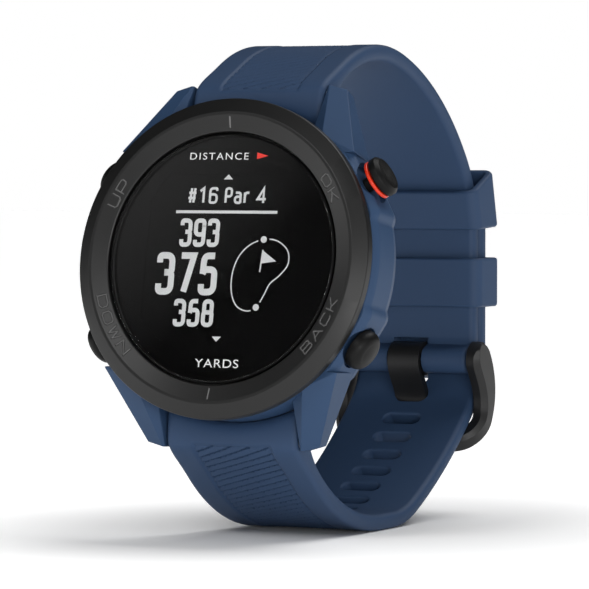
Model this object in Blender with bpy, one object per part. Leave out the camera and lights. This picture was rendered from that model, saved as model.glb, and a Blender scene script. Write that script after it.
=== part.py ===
"""Golf GPS watch with four side buttons, buckled and standing on its strap loop.

Blender 4.5, metres, +Z up. +X is 3 o'clock, the face looks along -Y and leans back a little.
Case pieces are drawn in the case's own frame: x to 3 o'clock, y to 12 o'clock, z out of the
glass, with z = 0 at the edge of the glass. Strap pieces are drawn in the plane of the loop.
"""

import math

import bmesh
import bpy
from mathutils import Matrix, Vector

MM = 0.001

# Clearances: between neighbouring solids, and round seals and other small fitted pieces.
GAP = 0.30 * MM
SEAL_GAP = 0.15 * MM

# Overall sizes.
CASE_RADIUS = 21.85 * MM
CASE_THICKNESS = 11.5 * MM
CASE_LEAN = math.radians(9.95)
STRAP_WIDTH = 20.0 * MM
STRAP_THICKNESS = 2.3 * MM

# Glass, bezel and display, as heights below the edge of the glass.
LENS_RADIUS = 16.94 * MM
LENS_THICKNESS = 1.4 * MM
BEZEL_RIDGE_HEIGHT = 0.6 * MM
BEZEL_CHAMFER_WIDTH = 2.0 * MM
BEZEL_DEPTH = 1.9 * MM
BEZEL_SEAT_WIDTH = 1.35 * MM
BEZEL_SEAT_THICKNESS = 0.5 * MM
ADHESIVE_THICKNESS = 0.2 * MM
ADHESIVE_WIDTH = 0.8 * MM
DISPLAY_THICKNESS = 1.2 * MM
BACKLIGHT_THICKNESS = 0.4 * MM

# Middle case.
CASE_WALL = 3.2 * MM
CASE_STEP = 0.55 * MM
LUG_REACH = 3.25 * MM
LUG_ROOM = 2.8 * MM
LUG_BOTTOM = 10.4 * MM
FLANGE_THICKNESS = 1.0 * MM
FLANGE_WIDTH = 1.9 * MM

# Buttons, on axes 30 degrees from the 3 to 9 o'clock line.
BUTTON_ANGLE = math.radians(30)
BUTTON_DEPTH = 5.2 * MM
BUTTON_CAP_RADIUS = 2.8 * MM
BUTTON_STEM_RADIUS = 1.0 * MM
BUTTON_TRAVEL = 0.6 * MM
BUTTON_RISE = 1.9 * MM
OK_BUTTON_RISE = 2.6 * MM
ACCENT_RING_THICKNESS = 0.5 * MM
BOSS_RISE = 1.0 * MM
BOSS_HALF_WIDTH = 4.2 * MM
GROOVE_DEPTH = 0.35 * MM
CLIP_THICKNESS = 0.3 * MM
CLIP_RADIUS = 1.8 * MM

# Electronics.
CHASSIS_WALL = 1.0 * MM
CHASSIS_FLOOR = 0.5 * MM
BOARD_THICKNESS = 0.8 * MM
SWITCH_SIZE = Vector((1.4, 3.6, 1.6)) * MM
SWITCH_PLUNGER = 0.3 * MM
BATTERY_RADIUS = 11.5 * MM
BATTERY_THICKNESS = 2.0 * MM
SHIELD_SIZE = Vector((11.0, 9.0, 0.55)) * MM
ANTENNA_SIZE = Vector((12.0, 3.0, 0.55)) * MM
FLEX_WIDTH = 8.0 * MM
FLEX_THICKNESS = 0.2 * MM
FLEX_LENGTH = 5.5 * MM

# Rear cover, its screws and its charging contacts.
COVER_EDGE_CHAMFER = 0.5 * MM
SCREW_ANGLE = math.radians(45)
SCREW_RADIUS = 0.55 * MM
SCREW_HEAD_RADIUS = 1.05 * MM
SCREW_HEAD_HEIGHT = 0.45 * MM
SCREW_LENGTH = 3.2 * MM
CONTACT_BLOCK_SIZE = Vector((9.0, 4.4, 1.2)) * MM
CONTACT_COUNT = 4
CONTACT_PITCH = 2.0 * MM
CONTACT_RADIUS = 0.45 * MM
CONTACT_BLOCK_OFFSET = 7.5 * MM

# Spring bars in the lugs and in the buckle end of the strap.
BAR_OFFSET = 1.65 * MM
BAR_DEPTH = 9.0 * MM
BAR_RADIUS = 0.9 * MM
BAR_BORE_RADIUS = 0.65 * MM
PIN_RADIUS = 0.4 * MM
PIN_REACH = 1.6 * MM
PIN_TRAVEL = 1.6 * MM
PIN_LENGTH_INSIDE = 9.0 * MM
RELEASE_KNOB_PLACE = 5.0 * MM
RELEASE_KNOB_RADIUS = 0.45 * MM
RELEASE_KNOB_REACH = 2.3 * MM
ROLL_RADIUS = 2.0 * MM

# Strap. A route starts at a bar and is a list of (radius, turn in degrees); the turn is
# negative to the right. The short upper half ends in a straight run down to the buckle.
STRAP_EDGE = 0.6 * MM
STRAP_ROOT_THICKNESS = 3.0 * MM
STRAP_ROOT_LENGTH = 9.0 * MM
UPPER_HEADING = 42.1
UPPER_ARCS = [(25.2 * MM, -58.2), (41.7 * MM, -35.8), (17.3 * MM, -38.1)]
UPPER_STRAIGHT = 18.3 * MM
LOWER_HEADING = -53.3
LOWER_ARCS_BEFORE = [(33.2 * MM, 16.8), (31.4 * MM, 36.5)]
REST_FLAT = 4.0 * MM
LOWER_ARCS_AFTER = [(16.2 * MM, 24.8), (78.0 * MM, 17.2), (11.8 * MM, 48.0)]
LAYER_GAP = 0.5 * MM
TAIL_ARC = 22.5
TAIL_ROUND = 5.0 * MM
TAIL_TIP_HALF_WIDTH = 4.5 * MM
SLOT_LENGTH = 5.8 * MM
SLOT_WIDTH = 2.0 * MM
SLOT_PITCH = 4.2 * MM
SLOTS_BELOW_BUCKLE = 7
SLOTS_ABOVE_BUCKLE = 6

# Keepers.
KEEPER_HEIGHT = 7.2 * MM
KEEPER_WALL = 1.2 * MM
KEEPER_SLACK = 0.35 * MM
KEEPER_CORNER = 0.8 * MM
LOWER_KEEPER_DROP = 7.0 * MM
UPPER_KEEPER_ANGLE = 14.0

# Buckle.
BUCKLE_BAR_INSET = 1.85 * MM
BUCKLE_ROLL_RADIUS = 2.1 * MM
BUCKLE_BAR_RADIUS = 0.75 * MM
PRONG_WIDTH = 5.0 * MM
PRONG_THICKNESS = 1.2 * MM
PRONG_OFFSET = 1.3 * MM
PRONG_EYE_RADIUS = 2.5 * MM
FRAME_REACH = 10.6 * MM
FRAME_ARM_THICKNESS = 2.0 * MM
FRAME_EYE_RADIUS = 2.7 * MM
FRAME_BULGE = 2.7 * MM
CROSSBAR_RADIUS = 1.2 * MM

# Facets of a full turn.
FINE_TURN = 64
MIDDLE_TURN = 32
SMALL_TURN = 16
TINY_TURN = 12


# ---------------------------------------------------------------- scene and materials

for old in list(bpy.data.objects):
    bpy.data.objects.remove(old)


def material(name, colour, roughness, metallic=0.0, alpha=1.0):
    """A Principled material with the piece's own colour."""
    made = bpy.data.materials.new(name)
    made.use_nodes = True
    shader = made.node_tree.nodes["Principled BSDF"]
    shader.inputs["Base Color"].default_value = (*colour, 1.0)
    shader.inputs["Roughness"].default_value = roughness
    shader.inputs["Metallic"].default_value = metallic
    shader.inputs["Alpha"].default_value = alpha
    made.diffuse_color = (*colour, alpha)
    return made


BLUE_SILICONE = material("blue_silicone", (0.035, 0.065, 0.14), 0.55)
BLUE_CASE = material("blue_case", (0.035, 0.065, 0.14), 0.45)
BLACK_BEZEL = material("black_bezel", (0.03, 0.03, 0.03), 0.4)
BLACK_PLASTIC = material("black_plastic", (0.015, 0.015, 0.015), 0.5)
BLACK_METAL = material("black_metal", (0.02, 0.02, 0.02), 0.35, 0.6)
GLASS = material("glass", (0.01, 0.01, 0.012), 0.05, alpha=0.35)
SEAL_RUBBER = material("seal_rubber", (0.02, 0.02, 0.02), 0.8)
ADHESIVE = material("adhesive", (0.01, 0.01, 0.01), 0.7)
DISPLAY = material("display", (0.02, 0.02, 0.025), 0.3)
BACKLIGHT = material("backlight", (0.8, 0.8, 0.78), 0.4)
FLEX = material("flex", (0.6, 0.3, 0.05), 0.5)
BOARD = material("board", (0.01, 0.12, 0.05), 0.5)
STEEL = material("steel", (0.6, 0.6, 0.6), 0.3, 1.0)
CERAMIC = material("ceramic", (0.7, 0.68, 0.6), 0.6)
BATTERY_FOIL = material("battery_foil", (0.5, 0.5, 0.52), 0.35, 0.8)
GOLD = material("gold", (0.9, 0.65, 0.25), 0.25, 1.0)
ORANGE = material("orange_ring", (0.8, 0.06, 0.01), 0.35)


def empty(name, parent=None):
    made = bpy.data.objects.new(name, None)
    bpy.context.collection.objects.link(made)
    made.parent = parent
    return made


def piece(name, bm, finish, parent):
    """Closes a bmesh into a named object with outward faces."""
    bmesh.ops.remove_doubles(bm, verts=bm.verts, dist=1e-7)
    bmesh.ops.recalc_face_normals(bm, faces=bm.faces)
    mesh = bpy.data.meshes.new(name)
    bm.to_mesh(mesh)
    bm.free()
    mesh.shade_smooth()
    mesh.set_sharp_from_angle(angle=math.radians(35))
    made = bpy.data.objects.new(name, mesh)
    bpy.context.collection.objects.link(made)
    made.parent = parent
    if finish:
        mesh.materials.append(finish)
    return made


def boolean(target, operation, tool):
    """Adds an exact Boolean and turns its tool into a hidden helper."""
    tool.hide_render = True
    tool.display_type = "WIRE"
    tool.hide_set(True)
    modifier = target.modifiers.new(operation.lower() + "_" + tool.name, "BOOLEAN")
    modifier.operation = operation
    modifier.object = tool
    modifier.solver = "EXACT"


# ---------------------------------------------------------------- shape makers


def turned(profile, segments, place=Matrix()):
    """A solid of revolution about z. The profile is (radius, height) points, closed by itself
    when it stays off the axis, or running from axis to axis."""
    bm = bmesh.new()
    verts = [bm.verts.new((radius, 0.0, height)) for radius, height in profile]
    edges = [bm.edges.new(pair) for pair in zip(verts, verts[1:])]
    if all(radius > 0 for radius, height in profile):
        edges.append(bm.edges.new((verts[-1], verts[0])))
    bmesh.ops.spin(
        bm, geom=verts + edges, cent=(0, 0, 0), axis=(0, 0, 1),
        angle=2 * math.pi, steps=segments, use_merge=True,
    )
    bmesh.ops.remove_doubles(bm, verts=bm.verts, dist=1e-7)
    bmesh.ops.transform(bm, matrix=place, verts=bm.verts)
    return bm


def tube(inner, outer, low, high, segments, place=Matrix()):
    return turned([(inner, low), (outer, low), (outer, high), (inner, high)], segments, place)


def rod(radius, low, high, segments, place=Matrix()):
    return turned([(0, low), (radius, low), (radius, high), (0, high)], segments, place)


def block(low, high, place=Matrix()):
    """A box between two corners."""
    bm = bmesh.new()
    bmesh.ops.create_cube(bm, size=1.0)
    low, high = Vector(low), Vector(high)
    size = high - low
    fit = Matrix.Translation((low + high) / 2) @ Matrix.Diagonal((*size, 1.0))
    bmesh.ops.transform(bm, matrix=place @ fit, verts=bm.verts)
    return bm


def hull(points):
    bm = bmesh.new()
    for point in points:
        bm.verts.new(point)
    made = bmesh.ops.convex_hull(bm, input=bm.verts)
    loose = [item for item in made["geom_interior"] if isinstance(item, bmesh.types.BMVert)]
    bmesh.ops.delete(bm, geom=loose, context="VERTS")
    return bm


def prism(outline, low, high, place=Matrix()):
    """An outline in x, y drawn out along z."""
    bm = bmesh.new()
    face = bm.faces.new([bm.verts.new((x, y, low)) for x, y in outline])
    top = bmesh.ops.extrude_face_region(bm, geom=[face])
    moved = [item for item in top["geom"] if isinstance(item, bmesh.types.BMVert)]
    bmesh.ops.translate(bm, vec=(0, 0, high - low), verts=moved)
    bmesh.ops.transform(bm, matrix=place, verts=bm.verts)
    return bm


def hollow_sweep(outer, inner, places):
    """A band between two outlines with the same number of points, carried through a row of places."""
    bm = bmesh.new()
    rows = []
    for outline in (outer, inner):
        rows.append([[bm.verts.new(place @ Vector((x, y, 0))) for x, y in outline] for place in places])
    rows[1].reverse()
    loops = rows[0] + rows[1]
    count = len(outer)
    for first, second in zip(loops, loops[1:] + loops[:1]):
        for i in range(count):
            j = (i + 1) % count
            bm.faces.new((first[i], first[j], second[j], second[i]))
    return bm


def round_corners(half_x, half_y, radius, steps=3):
    """The outline of a rectangle with round corners, centred on the origin."""
    points = []
    for corner, (sx, sy) in enumerate(((1, 1), (-1, 1), (-1, -1), (1, -1))):
        for step in range(steps + 1):
            angle = math.radians(90 * (corner + step / steps))
            x = sx * (half_x - radius) + radius * math.cos(angle)
            y = sy * (half_y - radius) + radius * math.sin(angle)
            points.append((x, y))
    return points


# ---------------------------------------------------------------- frames

watch = empty("watch")
case = empty("case", watch)
case.rotation_euler = (math.pi / 2 - CASE_LEAN, 0, 0)


def case_to_loop(y, z):
    """A point of the case's mid-plane, as (y, z) in the plane of the strap loop."""
    return Vector((
        y * math.sin(CASE_LEAN) - z * math.cos(CASE_LEAN),
        y * math.cos(CASE_LEAN) + z * math.sin(CASE_LEAN),
    ))


BACK = -CASE_THICKNESS + BEZEL_RIDGE_HEIGHT
LENS_BOTTOM = -LENS_THICKNESS
SEAT_TOP = LENS_BOTTOM - 2 * SEAL_GAP - ADHESIVE_THICKNESS
BEZEL_INNER = LENS_RADIUS + GAP
SEAT_INNER = BEZEL_INNER - BEZEL_SEAT_WIDTH
CASE_TOP = -BEZEL_DEPTH - GAP
CASE_OUTER = CASE_RADIUS - CASE_STEP
CAVITY_RADIUS = CASE_OUTER - CASE_WALL
COVER_TOP = BACK + 1.3 * MM
CASE_FLOOR = COVER_TOP + GAP
COVER_RADIUS = CASE_OUTER - GAP


# ---------------------------------------------------------------- glass and bezel

lens_edge = 0.2 * MM
piece("front_lens", turned([
    (0, LENS_BOTTOM), (LENS_RADIUS, LENS_BOTTOM), (LENS_RADIUS, -lens_edge),
    (LENS_RADIUS - lens_edge, 0), (0, 0),
], FINE_TURN), GLASS, case)

ridge = CASE_RADIUS - BEZEL_CHAMFER_WIDTH
chamfer_foot = -0.3 * MM
seat_outer = min(BEZEL_INNER + 0.8 * MM, CAVITY_RADIUS - GAP)
piece("bezel_ring", turned([
    (BEZEL_INNER, -lens_edge), (ridge - 0.2 * MM, BEZEL_RIDGE_HEIGHT),
    (ridge + 0.1 * MM, BEZEL_RIDGE_HEIGHT), (CASE_RADIUS, chamfer_foot),
    (CASE_RADIUS, -BEZEL_DEPTH + 0.3 * MM), (CASE_RADIUS - 0.3 * MM, -BEZEL_DEPTH),
    (seat_outer, -BEZEL_DEPTH), (seat_outer, SEAT_TOP - BEZEL_SEAT_THICKNESS),
    (SEAT_INNER, SEAT_TOP - BEZEL_SEAT_THICKNESS), (SEAT_INNER, SEAT_TOP), (BEZEL_INNER, SEAT_TOP),
], FINE_TURN), BLACK_BEZEL, case)

adhesive_outer = LENS_RADIUS - SEAL_GAP
piece("lens_adhesive", tube(
    adhesive_outer - ADHESIVE_WIDTH, adhesive_outer,
    LENS_BOTTOM - SEAL_GAP - ADHESIVE_THICKNESS, LENS_BOTTOM - SEAL_GAP, MIDDLE_TURN,
), ADHESIVE, case)


# ---------------------------------------------------------------- display stack

display_radius = SEAT_INNER - GAP
display_top = LENS_BOTTOM - GAP
display_bottom = display_top - DISPLAY_THICKNESS
backlight_top = display_bottom - GAP
backlight_bottom = backlight_top - BACKLIGHT_THICKNESS
piece("display_panel", rod(display_radius, display_bottom, display_top, MIDDLE_TURN), DISPLAY, case)
piece("backlight_plate", rod(display_radius, backlight_bottom, backlight_top, MIDDLE_TURN),
      BACKLIGHT, case)

board_top = -BUTTON_DEPTH + BOARD_THICKNESS / 2
board_bottom = board_top - BOARD_THICKNESS
parts_floor = board_top + GAP
flex_top = backlight_bottom - GAP
flex_end = -display_radius + 0.7 * MM
piece("display_flex", prism([
    (flex_end, parts_floor), (flex_end + FLEX_THICKNESS, parts_floor),
    (flex_end + FLEX_THICKNESS, flex_top - FLEX_THICKNESS),
    (flex_end + FLEX_LENGTH, flex_top - FLEX_THICKNESS), (flex_end + FLEX_LENGTH, flex_top),
    (flex_end, flex_top),
], -FLEX_WIDTH / 2, FLEX_WIDTH / 2, Matrix(((0, 0, 1, 0), (1, 0, 0, 0), (0, 1, 0, 0), (0, 0, 0, 1)))),
    FLEX, case)


# ---------------------------------------------------------------- middle case

bar_y = CASE_RADIUS + BAR_OFFSET
lug_inner = STRAP_WIDTH / 2 + GAP
lug_tip_y = CASE_RADIUS + LUG_REACH
BUTTONS = {
    "ok": BUTTON_ANGLE,
    "up": math.pi - BUTTON_ANGLE,
    "down": math.pi + BUTTON_ANGLE,
    "back": -BUTTON_ANGLE,
}


def lug_points(side_x, side_y):
    """One faceted lug: a top facet turned to the strap, one turned outward, and a side wall."""
    top = CASE_TOP - 0.05 * MM
    inner = lug_inner
    outer_tip = lug_inner + LUG_ROOM
    points = [
        (inner, lug_tip_y, -7.6 * MM), (inner, lug_tip_y - 0.4 * MM, -LUG_BOTTOM),
        (outer_tip, lug_tip_y - 0.7 * MM, -8.0 * MM),
        (outer_tip - 0.2 * MM, lug_tip_y - 1.2 * MM, -LUG_BOTTOM),
        (inner, lug_tip_y - 7.0 * MM, top), (inner + 3.3 * MM, lug_tip_y - 7.1 * MM, top),
        (inner + 7.4 * MM, lug_tip_y - 10.9 * MM, top),
        (inner + 7.2 * MM, lug_tip_y - 10.9 * MM, -7.6 * MM),
        (inner + 6.0 * MM, lug_tip_y - 10.9 * MM, CASE_FLOOR),
        (inner, lug_tip_y - 10.9 * MM, top), (inner, lug_tip_y - 10.9 * MM, CASE_FLOOR),
        (inner, lug_tip_y - 6.0 * MM, -LUG_BOTTOM), (outer_tip, lug_tip_y - 6.0 * MM, -LUG_BOTTOM),
    ]
    return [(side_x * x, side_y * y, z) for x, y, z in points]


def button_frame(angle, radius=0.0):
    """x along the rim, y out of the glass, z out along the button's axis."""
    out = Vector((math.cos(angle), math.sin(angle), 0))
    along = Vector((-math.sin(angle), math.cos(angle), 0))
    up = Vector((0, 0, 1))
    turn = Matrix((along, up, out)).transposed()
    if turn.determinant() < 0:
        turn = Matrix((-along, up, out)).transposed()
    return Matrix.Translation(out * radius + Vector((0, 0, -BUTTON_DEPTH))) @ turn.to_4x4()


boss_face = CASE_OUTER + BOSS_RISE
pocket_floor = boss_face - BUTTON_TRAVEL - 2 * SEAL_GAP
taper_start = CASE_FLOOR + 1.8 * MM
mid_case = piece("mid_case", turned([
    (0, CASE_FLOOR - GAP), (CASE_OUTER - 0.4 * MM, CASE_FLOOR - GAP), (CASE_OUTER, taper_start),
    (CASE_OUTER, CASE_TOP), (0, CASE_TOP),
], FINE_TURN), BLUE_CASE, case)

for side_x in (1, -1):
    for side_y in (1, -1):
        name = "lug_" + ("right" if side_x > 0 else "left") + ("_upper" if side_y > 0 else "_lower")
        boolean(mid_case, "UNION", piece(name, hull(lug_points(side_x, side_y)), None, case))

for name, angle in BUTTONS.items():
    rim = BUTTON_DEPTH + CASE_TOP
    foot = BUTTON_DEPTH + CASE_FLOOR
    root = CAVITY_RADIUS + 1.2 * MM
    shape = [
        (sign * x, y, z)
        for sign in (-1, 1)
        for x, y, z in (
            (BOSS_HALF_WIDTH, rim - 0.8 * MM, boss_face), (BOSS_HALF_WIDTH, foot + 0.8 * MM, boss_face),
            (BOSS_HALF_WIDTH + 2.8 * MM, rim - 0.1 * MM, root), (BOSS_HALF_WIDTH + 2.8 * MM, foot + 0.1 * MM, root),
        )
    ]
    boss = hull(shape)
    bmesh.ops.transform(boss, matrix=button_frame(angle), verts=boss.verts)
    boolean(mid_case, "UNION", piece(name + "_boss", boss, None, case))

flange_top = CASE_FLOOR + FLANGE_THICKNESS
flange_inner = CAVITY_RADIUS - FLANGE_WIDTH
overshoot = 3.0 * MM
boolean(mid_case, "DIFFERENCE", piece("cavity", turned([
    (0, CASE_FLOOR - overshoot), (COVER_RADIUS + GAP, CASE_FLOOR - overshoot),
    (COVER_RADIUS + GAP, CASE_FLOOR), (flange_inner, CASE_FLOOR), (flange_inner, flange_top),
    (CAVITY_RADIUS, flange_top), (CAVITY_RADIUS, CASE_TOP + overshoot), (0, CASE_TOP + overshoot),
], FINE_TURN, Matrix.Rotation(math.radians(1.4), 4, "Z")), None, case))

seal_middle = flange_inner + FLANGE_WIDTH / 2
seal_half = 0.3 * MM
seal_height = 0.55 * MM
seal_bottom = CASE_FLOOR - GAP + SEAL_GAP
boolean(mid_case, "DIFFERENCE", piece("seal_groove", tube(
    seal_middle - seal_half - SEAL_GAP, seal_middle + seal_half + SEAL_GAP,
    CASE_FLOOR - SEAL_GAP, seal_bottom + seal_height + SEAL_GAP, MIDDLE_TURN,
), None, case))

screw_circle = CAVITY_RADIUS + SCREW_RADIUS + 2 * GAP
screw_places = []
for turn in (SCREW_ANGLE, math.pi - SCREW_ANGLE, math.pi + SCREW_ANGLE, -SCREW_ANGLE):
    screw_places.append(Vector((screw_circle * math.cos(turn), screw_circle * math.sin(turn), 0)))
screw_head_low = BACK + 0.1 * MM
screw_tip = screw_head_low + SCREW_LENGTH
for number, place in enumerate(screw_places, 1):
    hole = rod(SCREW_RADIUS + SEAL_GAP, CASE_FLOOR - overshoot, screw_tip + GAP, TINY_TURN,
               Matrix.Translation(place))
    boolean(mid_case, "DIFFERENCE", piece("case_screw_hole_%d" % number, hole, None, case))

for name, angle in BUTTONS.items():
    axis = button_frame(angle)
    bore = turned([
        (0, CAVITY_RADIUS - overshoot), (BUTTON_STEM_RADIUS + GAP, CAVITY_RADIUS - overshoot),
        (BUTTON_STEM_RADIUS + GAP, pocket_floor), (BUTTON_CAP_RADIUS + GAP, pocket_floor),
        (BUTTON_CAP_RADIUS + GAP, boss_face + overshoot), (0, boss_face + overshoot),
    ], SMALL_TURN, axis @ Matrix.Rotation(math.pi / SMALL_TURN, 4, "Z"))
    boolean(mid_case, "DIFFERENCE", piece(name + "_bore", bore, None, case))

ACROSS = Matrix.Rotation(math.pi / 2, 4, "Y")
for name, side in (("upper", 1), ("lower", -1)):
    place = Matrix.Translation((0, side * bar_y, -BAR_DEPTH)) @ ACROSS
    room_half = lug_inner + 0.03 * MM
    room = rod(ROLL_RADIUS + GAP, -room_half, room_half, MIDDLE_TURN, place)
    boolean(mid_case, "DIFFERENCE", piece(name + "_strap_room", room, None, case))
    reach = STRAP_WIDTH / 2 + PIN_REACH + GAP
    holes = rod(PIN_RADIUS + SEAL_GAP, -reach, reach, TINY_TURN, place)
    boolean(mid_case, "DIFFERENCE", piece(name + "_pin_holes", holes, None, case))


# ---------------------------------------------------------------- inside the case

chassis_outer = CAVITY_RADIUS - GAP
chassis_inner = chassis_outer - CHASSIS_WALL
chassis_top = SEAT_TOP - BEZEL_SEAT_THICKNESS - GAP
chassis_bottom = flange_top + GAP
floor_top = board_bottom - GAP
floor_bottom = floor_top - CHASSIS_FLOOR
chassis = piece("inner_chassis", turned([
    (0, floor_bottom), (chassis_inner, floor_bottom), (chassis_inner, chassis_bottom),
    (chassis_outer, chassis_bottom), (chassis_outer, chassis_top), (chassis_inner, chassis_top),
    (chassis_inner, floor_top), (0, floor_top),
], MIDDLE_TURN), BLACK_PLASTIC, case)

board_radius = chassis_inner - 2 * GAP
board = piece("main_board", rod(board_radius, board_bottom, board_top, MIDDLE_TURN), BOARD, case)

clip_outer_face = math.sqrt(CAVITY_RADIUS**2 - CLIP_RADIUS**2) - GAP
clip_inner_face = clip_outer_face - CLIP_THICKNESS
stem_end = clip_inner_face - 0.4 * MM
plunger_tip = stem_end - BUTTON_TRAVEL - GAP
switch_front = plunger_tip - SWITCH_PLUNGER
for name, angle in BUTTONS.items():
    axis = button_frame(angle)
    half = CLIP_RADIUS + 2 * GAP
    low = switch_front - SWITCH_SIZE.x - GAP
    window = block((-half, -half, low), (half, half, CAVITY_RADIUS), axis)
    boolean(chassis, "DIFFERENCE", piece(name + "_window", window, None, case))
    notch = SWITCH_SIZE / 2 + Vector((GAP, GAP, GAP))
    room = block((-notch.y, -BOARD_THICKNESS, low), (notch.y, BOARD_THICKNESS, CAVITY_RADIUS), axis)
    boolean(board, "DIFFERENCE", piece(name + "_notch", room, None, case))
    body = block(
        (-SWITCH_SIZE.y / 2, -SWITCH_SIZE.z / 2, switch_front - SWITCH_SIZE.x),
        (SWITCH_SIZE.y / 2, SWITCH_SIZE.z / 2, switch_front), axis)
    switch = piece(name + "_switch", body, BLACK_PLASTIC, case)
    plunger = block((-0.6 * MM, -0.4 * MM, switch_front - 0.3 * MM), (0.6 * MM, 0.4 * MM, plunger_tip), axis)
    boolean(switch, "UNION", piece(name + "_plunger", plunger, None, case))

shield = SHIELD_SIZE / 2
piece("shield_can", block(
    (-shield.x, -shield.y, parts_floor), (shield.x, shield.y, parts_floor + SHIELD_SIZE.z)), STEEL, case)
antenna_low = shield.y + 2 * GAP
piece("gps_antenna", block(
    (-ANTENNA_SIZE.x / 2, antenna_low, parts_floor),
    (ANTENNA_SIZE.x / 2, antenna_low + ANTENNA_SIZE.y, parts_floor + ANTENNA_SIZE.z)), CERAMIC, case)
battery_top = floor_bottom - GAP
piece("battery", rod(BATTERY_RADIUS, battery_top - BATTERY_THICKNESS, battery_top, MIDDLE_TURN),
      BATTERY_FOIL, case)


# ---------------------------------------------------------------- rear cover

cover = piece("rear_cover", turned([
    (0, BACK), (COVER_RADIUS - COVER_EDGE_CHAMFER, BACK), (COVER_RADIUS, BACK + COVER_EDGE_CHAMFER),
    (COVER_RADIUS, COVER_TOP), (0, COVER_TOP),
], FINE_TURN), BLACK_PLASTIC, case)
piece("rear_seal", tube(
    seal_middle - seal_half, seal_middle + seal_half, seal_bottom, seal_bottom + seal_height,
    MIDDLE_TURN), SEAL_RUBBER, case)
for number, place in enumerate(screw_places, 1):
    place = Matrix.Translation(place)
    head_top = screw_head_low + SCREW_HEAD_HEIGHT
    hole = turned([
        (0, BACK - overshoot), (SCREW_HEAD_RADIUS + SEAL_GAP, BACK - overshoot),
        (SCREW_HEAD_RADIUS + SEAL_GAP, head_top + SEAL_GAP), (SCREW_RADIUS + SEAL_GAP, head_top + SEAL_GAP),
        (SCREW_RADIUS + SEAL_GAP, COVER_TOP + overshoot), (0, COVER_TOP + overshoot),
    ], TINY_TURN, place)
    boolean(cover, "DIFFERENCE", piece("cover_screw_hole_%d" % number, hole, None, case))
    piece("cover_screw_%d" % number, turned([
        (0, screw_head_low), (SCREW_HEAD_RADIUS, screw_head_low), (SCREW_HEAD_RADIUS, head_top),
        (SCREW_RADIUS, head_top), (SCREW_RADIUS, screw_tip), (0, screw_tip),
    ], TINY_TURN, place), STEEL, case)

contact_y = -CONTACT_BLOCK_OFFSET
half_block = CONTACT_BLOCK_SIZE / 2
block_bottom = BACK + 0.2 * MM
grow = Vector((GAP, GAP, 0))
boolean(cover, "DIFFERENCE", piece("contact_opening", block(
    Vector((-half_block.x, contact_y - half_block.y, BACK - overshoot)) - grow,
    Vector((half_block.x, contact_y + half_block.y, COVER_TOP + overshoot)) + grow), None, case))
contact_block = piece("contact_block", block(
    (-half_block.x, contact_y - half_block.y, block_bottom),
    (half_block.x, contact_y + half_block.y, block_bottom + CONTACT_BLOCK_SIZE.z)), BLACK_PLASTIC, case)
for number in range(CONTACT_COUNT):
    place = Matrix.Translation(((number - (CONTACT_COUNT - 1) / 2) * CONTACT_PITCH, contact_y, 0))
    hole = rod(CONTACT_RADIUS + SEAL_GAP, BACK - overshoot, COVER_TOP + overshoot, TINY_TURN, place)
    boolean(contact_block, "DIFFERENCE", piece("contact_hole_%d" % (number + 1), hole, None, case))
    piece("charge_contact_%d" % (number + 1), rod(
        CONTACT_RADIUS, block_bottom + 0.1 * MM, COVER_TOP + 0.2 * MM, TINY_TURN, place), GOLD, case)


# ---------------------------------------------------------------- buttons

for name, angle in BUTTONS.items():
    is_ok = name == "ok"
    hinge = empty(name + "_button_axis", case)
    hinge.matrix_local = button_frame(angle)
    top = boss_face + (OK_BUTTON_RISE if is_ok else BUTTON_RISE)
    base = top - 1.5 * MM if is_ok else boss_face - 0.1 * MM
    cap = BUTTON_CAP_RADIUS
    stem = BUTTON_STEM_RADIUS
    groove = stem - GROOVE_DEPTH
    seal_out = (CAVITY_RADIUS + pocket_floor) / 2
    profile = [
        (0, stem_end), (stem, stem_end), (stem, clip_inner_face - SEAL_GAP),
        (groove, clip_inner_face - SEAL_GAP), (groove, clip_outer_face + SEAL_GAP),
        (stem, clip_outer_face + SEAL_GAP), (stem, seal_out - 0.5 * MM), (groove, seal_out - 0.5 * MM),
        (groove, seal_out + 0.2 * MM), (stem, seal_out + 0.2 * MM), (stem, base), (cap - 0.2 * MM, base),
        (cap, base + 0.3 * MM), (cap, top - 0.6 * MM), (cap - 0.35 * MM, top - 0.2 * MM),
        (cap - 1.1 * MM, top), (0, top),
    ]
    if not is_ok:
        profile[-3:] = [(cap - 0.5 * MM, top - 0.3 * MM), (cap - 1.4 * MM, top), (0, top + 0.1 * MM)]
    piece(name + "_button", turned(profile, SMALL_TURN + 8), BLACK_PLASTIC, hinge)
    piece(name + "_button_seal", tube(
        groove + SEAL_GAP, stem + SEAL_GAP, seal_out - 0.5 * MM + SEAL_GAP, seal_out + 0.2 * MM - SEAL_GAP,
        SMALL_TURN), SEAL_RUBBER, hinge)
    piece(name + "_button_clip", tube(
        groove + SEAL_GAP, CLIP_RADIUS, clip_inner_face, clip_outer_face, SMALL_TURN), STEEL, hinge)
    if is_ok:
        ring_top = base - SEAL_GAP
        piece("ok_accent_ring", tube(
            stem + SEAL_GAP, cap - 0.05 * MM, ring_top - ACCENT_RING_THICKNESS, ring_top,
            SMALL_TURN + 8), ORANGE, hinge)


# ---------------------------------------------------------------- strap routes


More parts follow.
